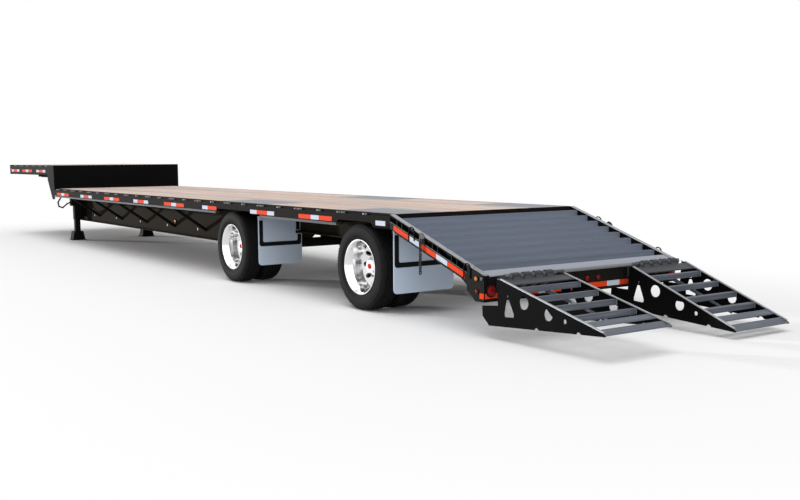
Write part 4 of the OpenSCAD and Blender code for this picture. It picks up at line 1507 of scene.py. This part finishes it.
@dataclass(frozen=True)
class Studio:
    """Camera, lamps, background and floor."""

    focal_px: float = 989.734
    frame_px: tuple[int, int] = (800, 500)
    middle_px: Pair = (375.76, 275.47)
    eye: Point = (-14.0854, 7.0104, 1.6292)
    yaw: float = -34.154
    pitch: float = -6.820
    roll: float = -0.373
    sensor: float = 36.0
    far_clip: float = 400.0
    suns: tuple[Sun, ...] = (
        Sun("key_lamp", (1.5, 1.0, 0.165), 2.8, 2.0),
        Sun("top_lamp", (-0.1, 0.25, 1.0), 1.45, 50.0),
        Sun("fill_lamp", (-1.0, 0.35, 0.45), 1.25, 60.0),
    )
    sky: float = 0.38
    floor_radius: float = 180.0
    floor_z: Pair = (-0.05, -0.004)
    floor_steps: int = 96
    floor_tone: Colour = (0.88, 0.88, 0.885)
    plain: Pair = (8.0, 1.0)
    fade: Pair = (0.6, 5.0)

    def build(self) -> None:
        """Sets the whole stage."""
        bpy.context.scene.view_settings.view_transform = "Standard"
        self._camera()
        for sun in self.suns:
            sun.build()
        self._background()
        self._floor()

    def _camera(self) -> None:
        """The camera at the photograph's angle."""
        wide, high = self.frame_px
        data = bpy.data.cameras.new("camera")
        data.sensor_width = self.sensor
        data.lens = self.focal_px * self.sensor / wide
        data.shift_x = (wide / 2 - self.middle_px[0]) / wide
        data.shift_y = (self.middle_px[1] - high / 2) / wide
        data.clip_end = self.far_clip
        turn, tilt, roll = (math.radians(angle) for angle in (self.yaw, self.pitch, self.roll))
        ahead = Vector((math.cos(turn) * math.cos(tilt), math.sin(turn) * math.cos(tilt), math.sin(tilt)))
        right = Vector((math.sin(turn), -math.cos(turn), 0.0))
        up = right.cross(ahead)
        level = right * math.cos(roll) + up * math.sin(roll)
        rise = up * math.cos(roll) - right * math.sin(roll)
        camera = bpy.data.objects.new("camera", data)
        bpy.context.scene.collection.objects.link(camera)
        basis = Matrix((level, rise, -ahead)).transposed().to_4x4()
        camera.matrix_world = Matrix.Translation(self.eye) @ basis
        bpy.context.scene.camera = camera

    def _background(self) -> None:
        """Even light, white where it is seen or mirrored."""
        world = bpy.data.worlds.new("studio_world")
        world.use_nodes = True
        bpy.context.scene.world = world
        tree = Tree(world.node_tree)
        path = tree.node("ShaderNodeLightPath").socket.node.outputs
        seen = Value(tree, path["Is Camera Ray"]).larger(Value(tree, path["Is Glossy Ray"]))
        seen = seen.larger(Value(tree, path["Is Transmission Ray"]))
        inputs = {"Color": WHITE, "Strength": seen * (1.0 - self.sky) + self.sky}
        light = tree.node("ShaderNodeBackground", inputs)
        tree.node("ShaderNodeOutputWorld", {"Surface": light})

    def _floor(self) -> None:
        """A wide pale floor that fades to white far from the trailer."""
        shape = Shape()
        low, high = self.floor_z
        wide = self.floor_radius
        profile = ((0.0, high), (wide, high), (wide, low), (0.0, low))
        shape.lathe(profile, ORIGIN, Axis.Z, 1.0, self.floor_steps)
        shade = Shade("stage_floor")
        x, y, _ = shade.axes()
        past_end = (abs(x) - self.plain[0]).larger(0.0)
        past_side = (abs(y) - self.plain[1]).larger(0.0)
        far = (past_end * past_end + past_side * past_side).root().smooth(*self.fade)
        seen = shade.node("ShaderNodeLightPath", output="Is Camera Ray")
        matt = shade.node("ShaderNodeBsdfDiffuse", {"Color": self.floor_tone})
        white = shade.node("ShaderNodeEmission", {"Color": WHITE, "Strength": 1.0})
        mixed = shade.node("ShaderNodeMixShader", {0: seen * far, 1: matt, 2: white})
        shade.node("ShaderNodeOutputMaterial", {"Surface": mixed})
        data = shape.data("floor")
        data.materials.append(shade.material)
        floor = bpy.data.objects.new("floor", data)
        bpy.context.scene.collection.objects.link(floor)
        floor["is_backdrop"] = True


def main() -> None:
    """Builds the stage and the sub-assemblies in order."""
    logging.basicConfig(level=logging.INFO, format="%(name)s: %(message)s")
    shop = Workshop()
    Studio().build()
    for part in (Frame, Deck, Wheels, Flaps, Lamps, Tapes):
        part(shop).build()


if __name__ == "__main__":
    main()
